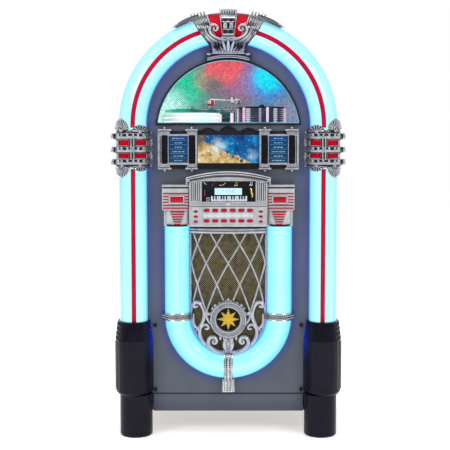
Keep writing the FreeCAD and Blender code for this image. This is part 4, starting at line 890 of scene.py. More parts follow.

# %% [markdown]
# ## Feathers
# A cast plume shows as bright edges over shaded gaps. So every feather is a full black strand of painted
# shade with thin bright ones on it, thin at the root, full in the middle and fine at the tip. Five stand up
# beside the lenses, and four long ones lie along the arch, crossed by short barbs.

# %% Feathers
SHADE_AND_RIBS = ((0, 0, -12, -9, 1.0), (-3.4, 0.6, -15.0, -14, 0.26), (1.5, 1.0, -16.5, -14, 0.18))
bright, dark = bmesh.new(), bmesh.new()
for i in range(5):
    t = i / 4
    path = [(56 + 8 * t, 1418 + 4 * t), (72 + 20 * t, 1452 + 4 * t), (76 + 36 * t, 1490 - 2 * t),
            (84 + 42 * t, 1522 - 3 * t), (90 + 48 * t, 1550 - 9 * t)]
    for x, z, lift, root, size in SHADE_AND_RIBS:
        lifts = (root, lift, lift - 2, lift, -9)
        strand = [mm(px + x, lifts[k], pz + z) for k, (px, pz) in enumerate(path)]
        add_strand(dark if size == 1.0 else bright, strand,
                   [2.0 * size, 4.4 * size, 5.6 * size, 4.6 * size, 0.9], 5, 2)
wave = (0, -3.0, -4.0, -3.0, 0)
for radius, start, stop in ((394, 17, 28.0), (400, 16, 29.6), (406, 15, 29.0), (411, 15.5, 26.5)):
    for out, lift, bm, thick in ((0, -10, dark, 4.0), (-1.6, -13.0, bright, 0.9)):
        path = [round_arch(radius + out, start + (stop - start) * k / 4, lift + wave[k]) for k in range(5)]
        add_strand(bm, path, [thick, thick * 1.1, thick, thick * 0.8, 0.8], 5, 2)
for i in range(5):
    turn = 17.5 + 2.7 * i
    barb = [round_arch(393, turn - 0.6, -12), round_arch(402, turn + 0.5, -16),
            round_arch(411, turn + 2.4, -12)]
    add_strand(bright, barb, [0.8, 1.3, 0.6], 5, 2)
for bm in (bright, dark):
    lay_on_tube(bm, 9)
    mirror(bm)
done(bright, "crown_plumes", CASTING)
done(dark, "crown_plume_shadows", SATIN)

# %% [markdown]
# ## Cap and foot
# The keystone ends in a fluted cap, and the crown's foot is a stepped plate over the window with two
# rows of beads. Both are blocks, rods and balls, because their lines are straight. The leaves that
# climb from the foot lean forward, clear of the casting's neck, or they would vanish inside it.

# %% Fluted cap
cap = bmesh.new()
crest = tube_front(0, 1528, 9)
add_block(cap, -27, 27, crest + 2, crest + 24, 1526, 1546, 3)
for i in range(7):
    x = -25.8 + 8.6 * i
    top = 1550 - abs(i - 3) * 0.8
    add_rod(cap, mm(x * 0.9, crest + 1, 1530), mm(x * 1.12, crest - 2, top), 2.6, 4.2, sides=12)
    add_ball(cap, mm(x * 1.12, crest - 2, top), 4.0, (1, 1, 0.5), 1)
add_rod(cap, mm(-26, crest - 1, 1527), mm(26, crest - 1, 1527), 2.8)
done(cap, "crown_cap", NICKEL)

# %% Stepped foot and leaves
foot_y = PANEL - 26
bm, leaf_dark = bmesh.new(), bmesh.new()
# The leaves at 26 and 37 mm are satin black: painted shade among the leaves of the foot.
leaves = ((0, 0, 10, bm), (9, 12, 7.5, bm), (26, 12, 4.5, leaf_dark), (37, 12, 4.5, leaf_dark),
          (20, 22, 3.2, bm), (48, 14, 2.6, bm))
for x, lean, full, into in leaves:
    for side in (-1, 1) if x else (1,):
        path = [mm(side * (x + lean * t), PANEL - 27 - 6 * t - 20 * t * t, 1405 + 38 * t - x * t * 0.3)
                for t in (0, 0.5, 1)]
        add_strand(into, path, [full * 0.5, full, full * 0.3], 5, 2)
done(leaf_dark, "crown_foot_shade", SATIN)
foot = [(-61, 1395), (61, 1395), (55, 1403), (59, 1414), (-59, 1414), (-55, 1403)]
add_plate(bm, foot, foot_y, PANEL - 17, 2)
for z, half in ((1397, 59), (1403, 56), (1410, 58)):
    add_rod(bm, mm(-half, foot_y, z), mm(half, foot_y, z), 2.6)
for i in range(11):
    add_ball(bm, mm(-50 + 10 * i, foot_y - 1, 1399.5), 3.4, fine=1)
    add_ball(bm, mm(-50 + 10 * i, foot_y - 1, 1406.5), 3.0, fine=1)
add_strand(bm, arc_points(WINDOW_R + 9, WINDOW_Z, 73.5, 106.5, PANEL - 17, 12), 2.4)
add_strand(bm, arc_points(WINDOW_R + 15, WINDOW_Z, 74, 106, PANEL - 18, 12), 2.0)
for side in (-1, 1):
    add_ball(bm, mm(side * 70, PANEL - 18, 1395), 6, (1.5, 0.6, 0.8))
done(bm, "crown_foot", NICKEL)

# %% [markdown]
# ## Title display
# Three lit screens sit on the black board. The big one shows an invented night landscape: the sky is
# drifting noise with sharp stars from a Voronoi texture, the ground is a rough slope in gold with soft
# spots for rocks. A picture file would do it too, but noise stays sharp and needs no file. The song
# lists are lit panels with short bars where the words would be, so nothing on them can be read.

# %% Sky and ground of the picture
def screen_glass(name):
    return finish(name, (0.004, 0.004, 0.008), 0.15, shine=0.15)


PICTURE = screen_glass("picture_screen")
here = add(PICTURE, "TexCoord")
sky_noise = add(PICTURE, "TexNoise", [("Vector", here, "Object")], Scale=22.0, Detail=7.0, Roughness=0.65)
sky = ramp(PICTURE, sky_noise, 0, [(0.34, (0.0, 0.035, 0.16)), (0.50, (0.0, 0.11, 0.36)),
                                   (0.64, (0.005, 0.32, 0.66)), (0.76, (0.65, 0.92, 1.0))])
cells = add(PICTURE, "TexVoronoi", [("Vector", here, "Object")], Scale=95.0)
star = add(PICTURE, "MapRange", [("Value", cells, "Distance")], From_Min=0.16, From_Max=0.04)
ground_noise = add(PICTURE, "TexNoise", [("Vector", here, "Object")], Scale=34.0, Detail=5.0, Roughness=0.55)
ground = ramp(PICTURE, ground_noise, 0, [(0.26, (0.20, 0.11, 0.04)), (0.42, (0.55, 0.34, 0.11)),
                                         (0.56, (0.80, 0.60, 0.26)), (0.72, (1.0, 0.95, 0.76))])
parts = add(PICTURE, "SeparateXYZ", [(0, here, "Object")])
slope = add(PICTURE, "Math", [(0, parts, "X")], operation="MULTIPLY", _1=0.42)
height = add(PICTURE, "Math", [(0, parts, "Z"), (1, slope, 0)], operation="ADD")
rough_edge = add(PICTURE, "Math", [(0, sky_noise, 0)], operation="MULTIPLY", _1=0.045)
edge = add(PICTURE, "Math", [(0, height, 0), (1, rough_edge, 0)], operation="ADD")
on_ground = add(PICTURE, "MapRange", [("Value", edge, 0)], From_Min=1.0655, From_Max=1.0625)
skyline = add(PICTURE, "Mix", [(0, on_ground, 0), (6, sky, 0), (7, ground, 0)], data_type="RGBA")
ragged = add(PICTURE, "MapRange", [("Value", ground_noise, 0)], From_Min=0.35, From_Max=0.60)

# %% Glows and rocks, and the screen itself
haze = both_of(PICTURE, disc_mask(PICTURE, here, -38, 1062, 40, 38), ragged)
view = mix_over(PICTURE, skyline, haze, (0.80, 0.97, 1.0))
view = mix_over(PICTURE, view, disc_mask(PICTURE, here, -116, 1098, 42, 20), (0.13, 0.12, 0.11))
ROCKS = (
    (9, 1031, 11, (0.02, 0.30, 0.34)), (17, 1025, 7, (0.01, 0.12, 0.16)),
    (-3, 1041, 6, (0.03, 0.03, 0.03)), (-88, 1042, 6, (0.80, 0.78, 0.70)),
    (-72, 1046, 5, (0.85, 0.85, 0.82)), (-58, 1040, 7, (0.70, 0.66, 0.56)),
    (-66, 1031, 5, (0.30, 0.19, 0.08)), (-40, 1045, 5, (0.90, 0.92, 0.92)),
    (-28, 1036, 6, (0.35, 0.24, 0.11)), (-95, 1030, 6, (0.42, 0.27, 0.10)),
    (33, 1018, 9, (0.16, 0.10, 0.05)), (48, 1010, 9, (0.07, 0.05, 0.04)),
)
for x, z, radius, colour in ROCKS:
    spot = disc_mask(PICTURE, here, x, z, radius, radius * 0.5)
    view = mix_over(PICTURE, view, both_of(PICTURE, spot, ragged) if radius > 8 else spot, colour)
haze = both_of(PICTURE, disc_mask(PICTURE, here, 86, 1032, 30, 28), ragged)
view = mix_over(PICTURE, view, haze, (0.40, 0.72, 1.0))
glow(PICTURE, mix_over(PICTURE, view, star, (0.85, 0.95, 1.0)), 2, 0.9)
bm = bmesh.new()
add_block(bm, -111, 111, TITLE - 0.5, TITLE + 4, 1002, 1104, 0.6)
done(bm, "picture_screen", PICTURE, replaces=["display_screens"])

# %% Song lists
LIST = screen_glass("list_screen")
glow_along(LIST, "Z", 1.003, 1.100, [(0.0, (0.004, 0.045, 0.085)), (0.5, (0.004, 0.055, 0.15)),
                                     (1.0, (0.006, 0.055, 0.24))], 0.9)
INK = finish("lit_lettering", (0.1, 0.2, 0.3), 0.4)
tint = ramp(INK, mottle(INK, 90.0), 0, [(0.35, (0.05, 0.20, 0.36)), (0.65, (0.22, 0.42, 0.66))])
glow(INK, tint, 0, 0.6)
chance = random.Random(7)
panels, words = bmesh.new(), bmesh.new()
for side in (-1, 1):
    x0, x1 = sorted((side * 147, side * 217))
    add_block(panels, x0, x1, TITLE - 0.5, TITLE + 4, 1003, 1100, 0.6)
    for row in range(6):
        z = 1091.5 - row * 16
        add_block(words, x0 + 5, x1 - 5, TITLE - 1, TITLE, z - 7.2, z - 6.4)
        lengths = [chance.uniform(5, 13) for _ in range(chance.choice((3, 4)))]
        x = (x0 + x1) / 2 - (sum(lengths) + 2.5 * (len(lengths) - 1)) / 2
        for length in lengths:
            add_block(words, x, x + length, TITLE - 1, TITLE, z - 1.8, z + 1.8, 0.4)
            x += length + 2.5
done(panels, "list_screens", LIST)
done(words, "list_lines", INK)

# %% [markdown]
# ## The title frame
# The frame has small capitals at its corners, beaded rails and black ribs on its uprights. The beads and
# rails are rods and balls, a few millimetres proud of the CAD frame, and drawn once for both sides.

# %% Rails, capitals and ribs of the frame
frame_front = corners("title_frame")[0].y
bm = bmesh.new()
for x, half in ((133, 22), (231, 24)):
    for z, up in ((1124, 1), (980, -1)):
        for inset, back, drop, radius in ((2, -0.5, 1, 1.8), (8, 2, 9, 1.6)):
            left = mm(x - half + inset, frame_front + back, z - up * drop)
            right = mm(x + half - inset, frame_front + back, z - up * drop)
            add_rod(bm, left, right, radius)
        add_ball(bm, mm(x, frame_front + 1, z + up * 5), 4.2, (1, 0.7, 1))
        for dx in (-half + 5, half - 5):
            add_ball(bm, mm(x + dx, frame_front, z - up * 3), 3.2, (1, 0.6, 1), 1)
for x in (116.5, 145.5, 218.5, 244.5):
    add_rod(bm, mm(x, TITLE - 6, 988), mm(x, TITLE - 6, 1116), 1.6)
for z in (1102.5, 1000.5):
    add_rod(bm, mm(147, TITLE - 4, z), mm(217, TITLE - 4, z), 1.8)
mirror(bm)
done(bm, "title_beads", NICKEL)
bm = bmesh.new()
for x in (133, 231):
    for i in range(12):
        add_block(bm, x - 9.5, x + 9.5, TITLE - 9, TITLE - 3, 999 + i * 9, 1004 + i * 9, 1)
mirror(bm)
done(bm, "title_ribs", BLACK)
bm = bmesh.new()
for x in (-74, 0, 74):
    add_strand(bm, arc_points(38, 1090 if x else 1095, 28, 152, TITLE - 1, 10, x), 2.2)
done(bm, "title_scallops", BLACK)

# %% [markdown]
# ## Control panel
# The CAD piece is the cast body with its button holes. What makes it look printed and plated is a layer
# of low reliefs: mouldings under the visor, flutes beside the display, painted stripes and slats on the
# wings. They are all thin blocks and rods, a fraction of a millimetre to a few millimetres proud. Their
# heights are measured from two faces: HOUSING, which is the middle, and WING, the set-back sides.

# %% Visor, flutes and borders
def bow(half, z_end, z_top, y, count=14):
    places = [-half + 2 * half * i / count for i in range(count + 1)]
    return [mm(x, y, z_end + (z_top - z_end) * (1 - (x / half) ** 2)) for x in places]


def add_frame(bm, x0, x1, z0, z1, y, radius):
    spots = [mm(x0, y, z0), mm(x1, y, z0), mm(x1, y, z1), mm(x0, y, z1)]
    for a, b in zip(spots, spots[1:] + spots[:1]):
        add_rod(bm, a, b, radius, sides=8)
        add_ball(bm, a, radius, fine=1)


bm = bmesh.new()
add_strand(bm, bow(149, 950, 971.5, HOUSING - 6.5), 2.6)
add_strand(bm, bow(148, 943, 964, HOUSING - 6.0), 2.0)
for side in (-1, 1):
    add_rod(bm, mm(side * 149, HOUSING - 6, 938), mm(side * 149, HOUSING - 6, 950), 2.6)
    for x in (101, 107.5, 114, 123, 129.5, 136):
        flute_top = 936 if x < 120 else 931
        add_rod(bm, mm(side * x, HOUSING - 0.5, 868), mm(side * x, HOUSING - 0.5, flute_top), 2.3, sides=10)
        add_ball(bm, mm(side * x, HOUSING - 0.5, 868), 2.3, fine=1)
    add_block(bm, side * 146, side * 153, WING - 6, WING + 8, 924, 951, 2)
add_block(bm, -140, 140, HOUSING - 4, HOUSING, 850, 855, 1.5)
add_block(bm, -138, 138, HOUSING - 2.5, HOUSING, 857, 860, 1)
add_ball(bm, mm(0, HOUSING - 3, 857), 6, (1.8, 0.5, 0.7))
add_frame(bm, -98, 100.5, 861.5, 940, HOUSING - 0.6, 1.7)
add_frame(bm, -95, 95, 782, 846, HOUSING, 0.9)
add_frame(bm, -91, 91, 806, 824, HOUSING, 0.7)
for side in (-1, 1):
    add_frame(bm, side * 103.5, side * 130.5, 784, 845, HOUSING, 1.0)
    add_rod(bm, mm(side * 139, HOUSING - 0.5, 776), mm(side * 139, HOUSING - 0.5, 849), 1.6, sides=8)
done(bm, "panel_mouldings", SILVER)

# %% Dark shadow lines
bm = bmesh.new()
add_strand(bm, bow(139, 939.5, 955.5, HOUSING - 6.2), 1.7)
add_strand(bm, bow(147, 946.5, 968, HOUSING - 6.4), 1.2)
add_strand(bm, bow(150, 954, 975.5, HOUSING - 6.4), 1.0)
for side in (-1, 1):
    add_block(bm, side * 141, side * 237, WING - 1, WING + 2, 911.5, 916.5)
    sag = ((150, 779), (165, 776.5), (186, 775.5), (207, 776.5), (222, 779))
    add_strand(bm, [mm(side * x, WING + 4, z) for x, z in sag], 2.6)
    for x in (118.5, 110.7, 104.2, 126.2, 132.8):
        add_block(bm, side * (x - 0.9), side * (x + 0.9), HOUSING - 0.4, HOUSING + 1, 868, 932)
    add_block(bm, side * 140, side * 144, WING - 0.8, WING + 0.5, 782, 908)
    for z in (892, 850):
        add_block(bm, side * 141.5, side * 143, WING + 0.5, WING - 0.8, z - 22, z + 18)
add_block(bm, -141, 141, HOUSING - 0.3, HOUSING + 1, 847.5, 849.5)
done(bm, "panel_shadow_lines", SATIN)

# %% [markdown]
# ## Printed parts of the panel
# The label strip, the number display and the little keyboard are prints on the real panel. A print could
# be a texture, but it would need a picture file. Thin blocks under a millimetre high look the same and
# stay sharp. The marks on the strip are plain bars, and the figures of the display are all alike.

# %% Label strip
PALE_LABEL = speckle(finish("printed_label", (0.6, 0.63, 0.66), 0.4), 120,
                     (0.56, 0.59, 0.62), (0.66, 0.69, 0.72), grain=1500, bump=0.05)
bm = bmesh.new()
add_block(bm, -90, 90, HOUSING - 0.5, HOUSING + 1, 807, 823, 0.3)
done(bm, "label_strip", PALE_LABEL)
bm = bmesh.new()
for i in range(6):
    x = -78.25 + 31.3 * i
    add_block(bm, x - 7, x + 7, HOUSING - 0.8, HOUSING, 818.2, 819.6)
    add_block(bm, x - 5, x + 5, HOUSING - 0.8, HOUSING, 810.4, 811.8)
done(bm, "label_marks", STEEL)

# %% Display window and its printed decoration
DARK = speckle(finish("display_window", (0.01, 0.01, 0.012), 0.08, shine=0.2), 12,
               (0.006, 0.006, 0.009), (0.014, 0.013, 0.020), bump=0.02, rough=(0.05, 0.12))
dress(DARK, "display_lens")
window_face = corners("display_lens")[0].y
NUMBERS = finish("number_display", (0.05, 0.08, 0.09), 0.2, coat=0.4)
haze = ramp(NUMBERS, mottle(NUMBERS, 30.0), 0, [(0.3, (0.52, 0.90, 0.96)), (0.7, (0.72, 0.99, 1.0))])
glow(NUMBERS, haze, 0, 0.95)
bm = bmesh.new()
add_block(bm, -49, 49, window_face - 0.8, window_face, 889, 913, 0.3)
done(bm, "number_display", NUMBERS)
SEGMENTS = ((-3, 3, 906, 907), (-3, 3, 900.4, 901.4), (-3, 3, 895, 896),
            (-3.6, -2.8, 895, 907), (2.8, 3.6, 895, 907))
DIGIT = speckle(finish("digit_grey", (0.3, 0.5, 0.6), 0.4), 80, (0.20, 0.36, 0.46), (0.28, 0.46, 0.56))
bm = bmesh.new()
for i in range(4):
    x = -18 + i * 12
    for dx0, dx1, z0, z1 in SEGMENTS:
        add_block(bm, x + dx0, x + dx1, window_face - 1.1, window_face, z0, z1)
done(bm, "faint_digits", DIGIT)

# %% Small keyboard
WHITE_KEYS = speckle(finish("piano_white", (0.6, 0.65, 0.72), 0.3), 60,
                     (0.50, 0.55, 0.64), (0.66, 0.70, 0.78))
whites, blacks = bmesh.new(), bmesh.new()
for i in range(14):
    x = -62 + i * 9.3
    add_block(whites, x, x + 8.5, window_face - 0.9, window_face, 865.5, 884.5, 0.3)
    if i % 7 not in (2, 6) and i < 13:
        add_block(blacks, x + 6.2, x + 11.6, window_face - 1.6, window_face - 0.5, 873, 884.5, 0.3)
done(whites, "piano_keys_white", WHITE_KEYS)
done(blacks, "piano_keys_black", SATIN)


# %% Little music notes
def add_note(bm, x, z, size, tails=1):
    y = window_face - 0.8
    for i in range(tails):
        stem = x + size * (0.5 + i * 1.3)
        add_ball(bm, mm(x + i * size * 1.3, y, z), size * 0.5, (1.25, 0.5, 0.85))
        add_rod(bm, mm(stem, y, z), mm(stem, y, z + size * 2.2), 0.7, sides=8)
    beam_start = mm(x + size * 0.5, y, z + size * 2.2)
    beam_end = mm(x + size * (0.5 + 1.3), y, z + size * (2.2 if tails > 1 else 1.4))
    add_rod(bm, beam_start, beam_end, 1.1, 0.6, sides=8)


def add_squiggle(bm, points, radii):
    add_strand(bm, [mm(x, window_face - 0.8, z) for x, z in points], radii)


gold_notes, white_notes, red_notes = bmesh.new(), bmesh.new(), bmesh.new()
add_note(gold_notes, 24, 922, 5, 2)
add_squiggle(gold_notes, ((-31, 924), (-24, 921), (-16, 925), (-10, 932)), [1.8, 0.8])
add_squiggle(gold_notes, ((79, 914), (84, 906), (82, 897), (88, 888), (86, 880)), [2.0, 4.2, 2.6, 4.0, 1.2])
add_note(white_notes, 78, 924, 4.5, 2)
add_squiggle(white_notes, ((-90, 936), (-84, 930), (-80, 926)), [0.7, 0.9])
add_frame(white_notes, -77, -69, 866, 878, window_face - 0.6, 0.8)
add_squiggle(red_notes, ((-88, 908), (-82, 903), (-88, 897), (-82, 891), (-87, 884)),
             [1.2, 2.6, 1.8, 2.6, 1.0])
add_note(red_notes, -58, 922, 3.5)
DIM_RED = speckle(finish("dim_red", (0.2, 0.02, 0.02), 0.4), 80, (0.14, 0.01, 0.01), (0.26, 0.03, 0.02))
done(gold_notes, "gold_notes", GOLD)
done(white_notes, "white_notes", IVORY)
done(red_notes, "red_notes", DIM_RED)

# %% [markdown]
# ## Wings of the panel
# Each wing carries painted red stripes, a red badge in a frame and a stack of red slats that gets
# narrower downwards. The badges are left plain, because lettering has no place on a shared part.

# %% Wings: stripes, badges and slats
bm = bmesh.new()
for side in (-1, 1):
    for z in (893, 850, 840):
        add_block(bm, side * 143, side * 236, WING - 1.2, WING + 0.5, z - 2.1, z + 2.1, 0.5)
    for z in (882, 871, 861):
        for x0, x1 in ((143, 156), (217, 236)):
            add_block(bm, side * x0, side * x1, WING - 1.2, WING + 0.5, z - 1.8, z + 1.8, 0.5)
    add_block(bm, side * 163, side * 209, WING - 4.2, WING, 860.5, 881.5, 0.8)
    for i, width in enumerate((51, 47, 40, 35, 29, 23)):
        z = 826 - 9 * i
        inner, outer = side * (184 - width / 2), side * (184 + width / 2)
        add_block(bm, inner, outer, WING + 4.2, WING + 7, z - 2.3, z + 2.3, 0.6)
done(bm, "red_stripes_and_badges", RED)
bm = bmesh.new()
for side in (-1, 1):
    add_frame(bm, side * 160.5, side * 211.5, 858, 884, WING - 2.6, 2.4)
    add_rod(bm, mm(side * 143, WING - 0.5, 833), mm(side * 237, WING - 0.5, 833), 1.6, sides=8)
    for z in (823, 814, 805, 796, 787):
        for x in (225, 150):
            add_rod(bm, mm(side * x, WING + 5.6, z - 2), mm(side * x, WING + 5.6, z + 2), 1.0, sides=8)
    for x in (149, 228):
        add_rod(bm, mm(side * x, WING + 5.4, 779), mm(side * x, WING + 5.4, 829), 1.3, sides=8)
    for step, z in enumerate((922.5, 919.5)):
        add_rod(bm, mm(side * 143, WING - 7.2 + step, z), mm(side * 237, WING - 7.2 + step, z), 1.4, sides=8)
done(bm, "wing_mouldings", SILVER)

# %% [markdown]
# ## Grille cloth and twisted-wire lattice
# The cloth is woven black with gold thread: two crossed waves a couple of millimetres apart. The wires
# are really two strands twisted together, so each one here is a pair of helices around a path. The
# paths cross on a bulge like a barrel's, which flattens towards the medallion, and the rows of crossings
# open out towards the bottom. Each wire leans by the same turn from one row to the next.

# %% Woven cloth
CLOTH_GOLD = finish("grille_cloth", (0.1, 0.08, 0.04), 0.75)
here = add(CLOTH_GOLD, "TexCoord")
threads = []
for turn in (45, 135):
    lean = add(CLOTH_GOLD, "Mapping", [("Vector", here, "Object")], Rotation=(0, math.radians(turn), 0))
    threads.append(add(CLOTH_GOLD, "TexWave", [("Vector", lean, 0)], Scale=58.0, Distortion=0.5, Detail=1.0))
woven = add(CLOTH_GOLD, "Math", [(0, threads[0], 1), (1, threads[1], 1)], operation="MULTIPLY")
patch = add(CLOTH_GOLD, "TexNoise", [("Vector", here, "Object")], Scale=60.0, Detail=3.0)
gilding = ramp(CLOTH_GOLD, both_of(CLOTH_GOLD, woven, patch), 0, [
    (0.06, (0.006, 0.005, 0.004)), (0.17, (0.075, 0.056, 0.022)), (0.36, (0.44, 0.34, 0.12))])
feed(CLOTH_GOLD, gilding, 0, "Base Color")
feed(CLOTH_GOLD, add(CLOTH_GOLD, "Bump", [("Height", woven, 0)], Strength=0.7, Distance=0.0012), 0, "Normal")
CLOTH_GOLD.node_tree.nodes["Principled BSDF"].inputs["Sheen Weight"].default_value = 0.25
dress(CLOTH_GOLD, "grille_cloth")

# %% Twisted wires
ROWS = (778, 706, 638, 560, 457, 354)
LEAN = 16.5
EDGE_TURN = 69.5
WIRE_TOP, WIRE_STEP = 764, 2.6
BULGE_WIDE, BULGE_DEEP, BULGE_FOOT = 148, 42, 560


def bulge_point(turn_deg, z, out=0.0):
    turn = math.radians(turn_deg)
    depth = 1.0 if z > BULGE_FOOT else 1.0 - 0.45 * (BULGE_FOOT - z) / 110
    return mm(BULGE_WIDE * math.sin(turn), CLOTH - (BULGE_DEEP * math.cos(turn) - 3) * depth - out, z)


def wire_turn(start, way, z):
    for i, (high, low) in enumerate(zip(ROWS, ROWS[1:])):
        if high >= z >= low:
            return start + way * LEAN * (i + (high - z) / (high - low))
    return start


def add_twist(bm, path, radius=2.2, pitch=17.0):
    for phase in (0, math.pi):
        walked, spots = 0.0, []
        for i, spot in enumerate(path):
            if i:
                walked += (spot - path[i - 1]).length * 1000
            along = (path[min(i + 1, len(path) - 1)] - path[max(i - 1, 0)]).normalized()
            across = along.cross(Vector((0, 1, 0))).normalized()
            turn = 2 * math.pi * walked / pitch + phase
            aside = across * math.cos(turn) + across.cross(along) * math.sin(turn)
            spots.append(spot + aside * radius * 0.62 / 1000)
        add_strand(bm, spots, radius, 1, 1)


def wire_path(start, way, bottom):
    path, z = [], WIRE_TOP
    while z >= bottom:
        turn = wire_turn(start, way, z)
        if abs(turn) > EDGE_TURN:
            break
        path.append(bulge_point(turn, z, 1.2 if way > 0 else -1.2))
        z -= WIRE_STEP
    return path


# %% The lattice
bm = bmesh.new()
wires = [(s, w) for s in (-66, -33, 0, 33, 66) for w in (-1, 1)]
for start, way in wires:
    low = 457 if abs(start + way * LEAN * 4) > 20 else 500
    path = wire_path(start, way, low)
    if len(path) > 12:
        add_twist(bm, path)
for side in (-1, 1):
    for entry in (1, 2, 3):
        begin = ROWS[entry]
        turn_here, path, z = side * (66 + (LEAN if entry % 2 else 0)), [], begin
        while z >= 457:
            turn = turn_here - side * (wire_turn(0, 1, z) - wire_turn(0, 1, begin))
            if abs(turn) <= EDGE_TURN:
                path.append(bulge_point(turn, z, 0.6))
            z -= WIRE_STEP
        if len(path) > 12:
            add_twist(bm, path)
    rim = [bulge_point(side * EDGE_TURN, WIRE_TOP - 3 * i) for i in range(100)]
    add_twist(bm, rim, 2.8, 16)
done(bm, "lattice_wires", NICKEL, replaces=["grille_lattice"])

# %% Top rail
bm = bmesh.new()
for z0, z1, out in ((757, 765, 3), (746, 757, 1)):
    thick = (z1 - z0) / 2
    for i in range(24):
        left = bulge_point(-69 + 138 * i / 24, z0, out)
        right = bulge_point(-69 + 138 * (i + 1) / 24, z0, out)
        add_rod(bm, left + mm(0, 0, thick), right + mm(0, 0, thick), thick, sides=10)
done(bm, "grille_rail", NICKEL)

# %% [markdown]
# ## Medallion and scrollwork
# The round end of the grille is a casting of C-scrolls round a ringed medallion. A scroll is a strand
# whose path curls in on itself, ending in a bead. The ring is a turned section with two raised lips.

# %% Medallion ring
MEDAL_Z = 428.5
ring_front = corners("scroll_casting")[0].y
bm = bmesh.new()
ring = [(44, 30), (44, 4), (46, 0), (49, 0), (51, 3), (60, 3), (62, -1), (65, -1), (67, 3), (68, 30)]
add_turned(bm, ring, mm(0, ring_front, MEDAL_Z), "Y", 64)
for i in range(40):
    turn = 2 * math.pi * i / 40
    add_ball(bm, mm(55.5 * math.cos(turn), ring_front + 2.5, MEDAL_Z + 55.5 * math.sin(turn)), 3.2, fine=1)
done(bm, "medallion_ring", NICKEL, replaces=["scroll_casting"])

# %% Scrolls, one half
scroll_y = CLOTH - 13
FULLNESS = 1.38
# Path, thickness along it, size of the bead at its end, and how far it stands in front.
SCROLLS = (
    ([(8, 306), (28, 303), (52, 311), (70, 327), (76, 346), (68, 361), (53, 364), (42, 355),
      (43, 342), (53, 336), (60, 344), (54, 350)], [6.5, 6, 5.5, 5, 4, 3.2], 4.5, 4),
    ([(16, 300), (48, 305), (80, 325), (103, 356), (108, 388), (98, 408), (80, 410), (70, 400),
      (75, 389), (84, 393)], [5, 5.5, 5, 4.6, 3.6, 3], 4.0, 0),
    ([(118, 385), (106, 398), (92, 420), (86, 446), (92, 474), (106, 492), (122, 492), (130, 481),
      (124, 471), (115, 476)], [3, 5.2, 5.6, 5.6, 4.8, 3.4], 4.2, 0),
    ([(60, 452), (70, 444), (80, 448), (84, 462)], [4.5, 5.5, 4], 0, 0),
    ([(58, 408), (68, 414), (78, 430), (84, 450)], [4.5, 5, 4], 0, 0),
    ([(78, 470), (84, 452), (90, 440)], [3, 5, 3], 0, 0),
    ([(96, 402), (112, 392), (124, 400), (130, 420), (128, 446)], [4.5, 4, 3], 3.5, 0),
    ([(2, 368), (14, 352), (18, 334), (10, 316)], [2.5, 5.5, 6.5, 4], 0, 5),
    ([(34, 380), (26, 366), (30, 352)], [2.5, 4.5, 2.5], 0, 4),
)
bm = bmesh.new()
for points, radii, bead, ahead in SCROLLS:
    y = scroll_y - ahead
    add_strand(bm, [mm(x, y, z) for x, z in points], [r * FULLNESS for r in radii], 5, 2)
    if bead:
        add_ball(bm, mm(points[-1][0], y - 1, points[-1][1]), bead)
for i in range(4):
    turn = math.radians(62 - 15 * i)
    spot = mm(67 * math.cos(turn), scroll_y - 8, MEDAL_Z + 67 * math.sin(turn))
    add_ball(bm, spot, 6.5 - 0.7 * i, (1, 0.7, 1))
for x, z, radius in ((0, 498, 7), (9, 494, 6), (18, 489, 5.5), (27, 484, 5), (47, 478, 7), (56, 468, 6)):
    add_ball(bm, mm(x, scroll_y - 9, z), radius, (1, 0.7, 1.15))
add_strand(bm, [mm(x, scroll_y - 8, z) for x, z in ((0, 488), (0, 500), (0, 508))], [6, 5, 1])
path = [mm(136, scroll_y + 3, z) for z in range(488, int(U_BEND), -4)]
path += arc_points(136, U_BEND, 0, -84, scroll_y + 3, 44)
add_twist(bm, path, 3.0, 15)
add_strand(bm, path[::3], 3.4, 2, 1)
mirror(bm)

# %% Plate in the middle, under the medallion
add_plate(bm, [(-25, 372), (-12, 367), (0, 365), (12, 367), (25, 372), (21, 358), (12, 338), (12, 300),
               (-12, 300), (-12, 338), (-21, 358)], scroll_y - 8, scroll_y - 1, 2)
RIDGES = ((((20, 370), (14, 350), (8, 332), (8, 302)), [2.6, 3.2, 2.6]),
          (((10, 366), (4, 348), (0, 338)), [2.2, 2.8, 2.0]))
for side in (-1, 1):
    for ridge, radii in RIDGES:
        add_strand(bm, [mm(side * x, scroll_y - 9, z) for x, z in ridge], radii, 4, 2)
for z in (326, 316, 306):
    add_ball(bm, mm(0, scroll_y - 9, z), 4.6, (1, 0.8, 0.9), 2)
done(bm, "scrollwork", NICKEL)

# %% [markdown]
# ## The star
# The gilt star is pressed from sheet, with a low peak in the middle. So its outline becomes one face,
# which is extruded to a thickness and then poked: the new middle point is pulled forward, and every
# point of the star gets its ridge. A small crease angle keeps those ridges sharp.

# %% Medallion plate and star
bm = bmesh.new()
add_turned(bm, [(0, 0), (45, 0), (45, 3), (0, 3)], mm(0, CLOTH - 7.5, MEDAL_Z), "Y", 48)
done(bm, "medallion_plate", SATIN)
YELLOW = speckle(finish("gilt_star", (0.8, 0.5, 0.05), 0.3, metallic=0.15, coat=0.3), 90,
                 (0.66, 0.40, 0.02), (0.80, 0.54, 0.04), grain=900, bump=0.1)
bm = bmesh.new()
rim = []
for i in range(16):
    turn = math.pi / 2 + i * math.pi / 8
    reach = (41 if i % 4 == 0 else 39) if i % 2 == 0 else 18
    rim.append(bm.verts.new(mm(reach * math.cos(turn), CLOTH - 14, MEDAL_Z + reach * math.sin(turn))))
base = bm.faces.new(rim)
made = bmesh.ops.extrude_face_region(bm, geom=[base])["geom"]
bmesh.ops.translate(bm, vec=mm(0, -3, 0), verts=[g for g in made if isinstance(g, bmesh.types.BMVert)])
front = min((f for f in bm.faces if len(f.verts) == 16), key=lambda f: f.calc_center_median().y)
peak = bmesh.ops.poke(bm, faces=[front])["verts"]
bmesh.ops.translate(bm, vec=mm(0, -8, 0), verts=peak)
done(bm, "medallion_star_face", YELLOW, replaces=["medallion_star"], crease=8)

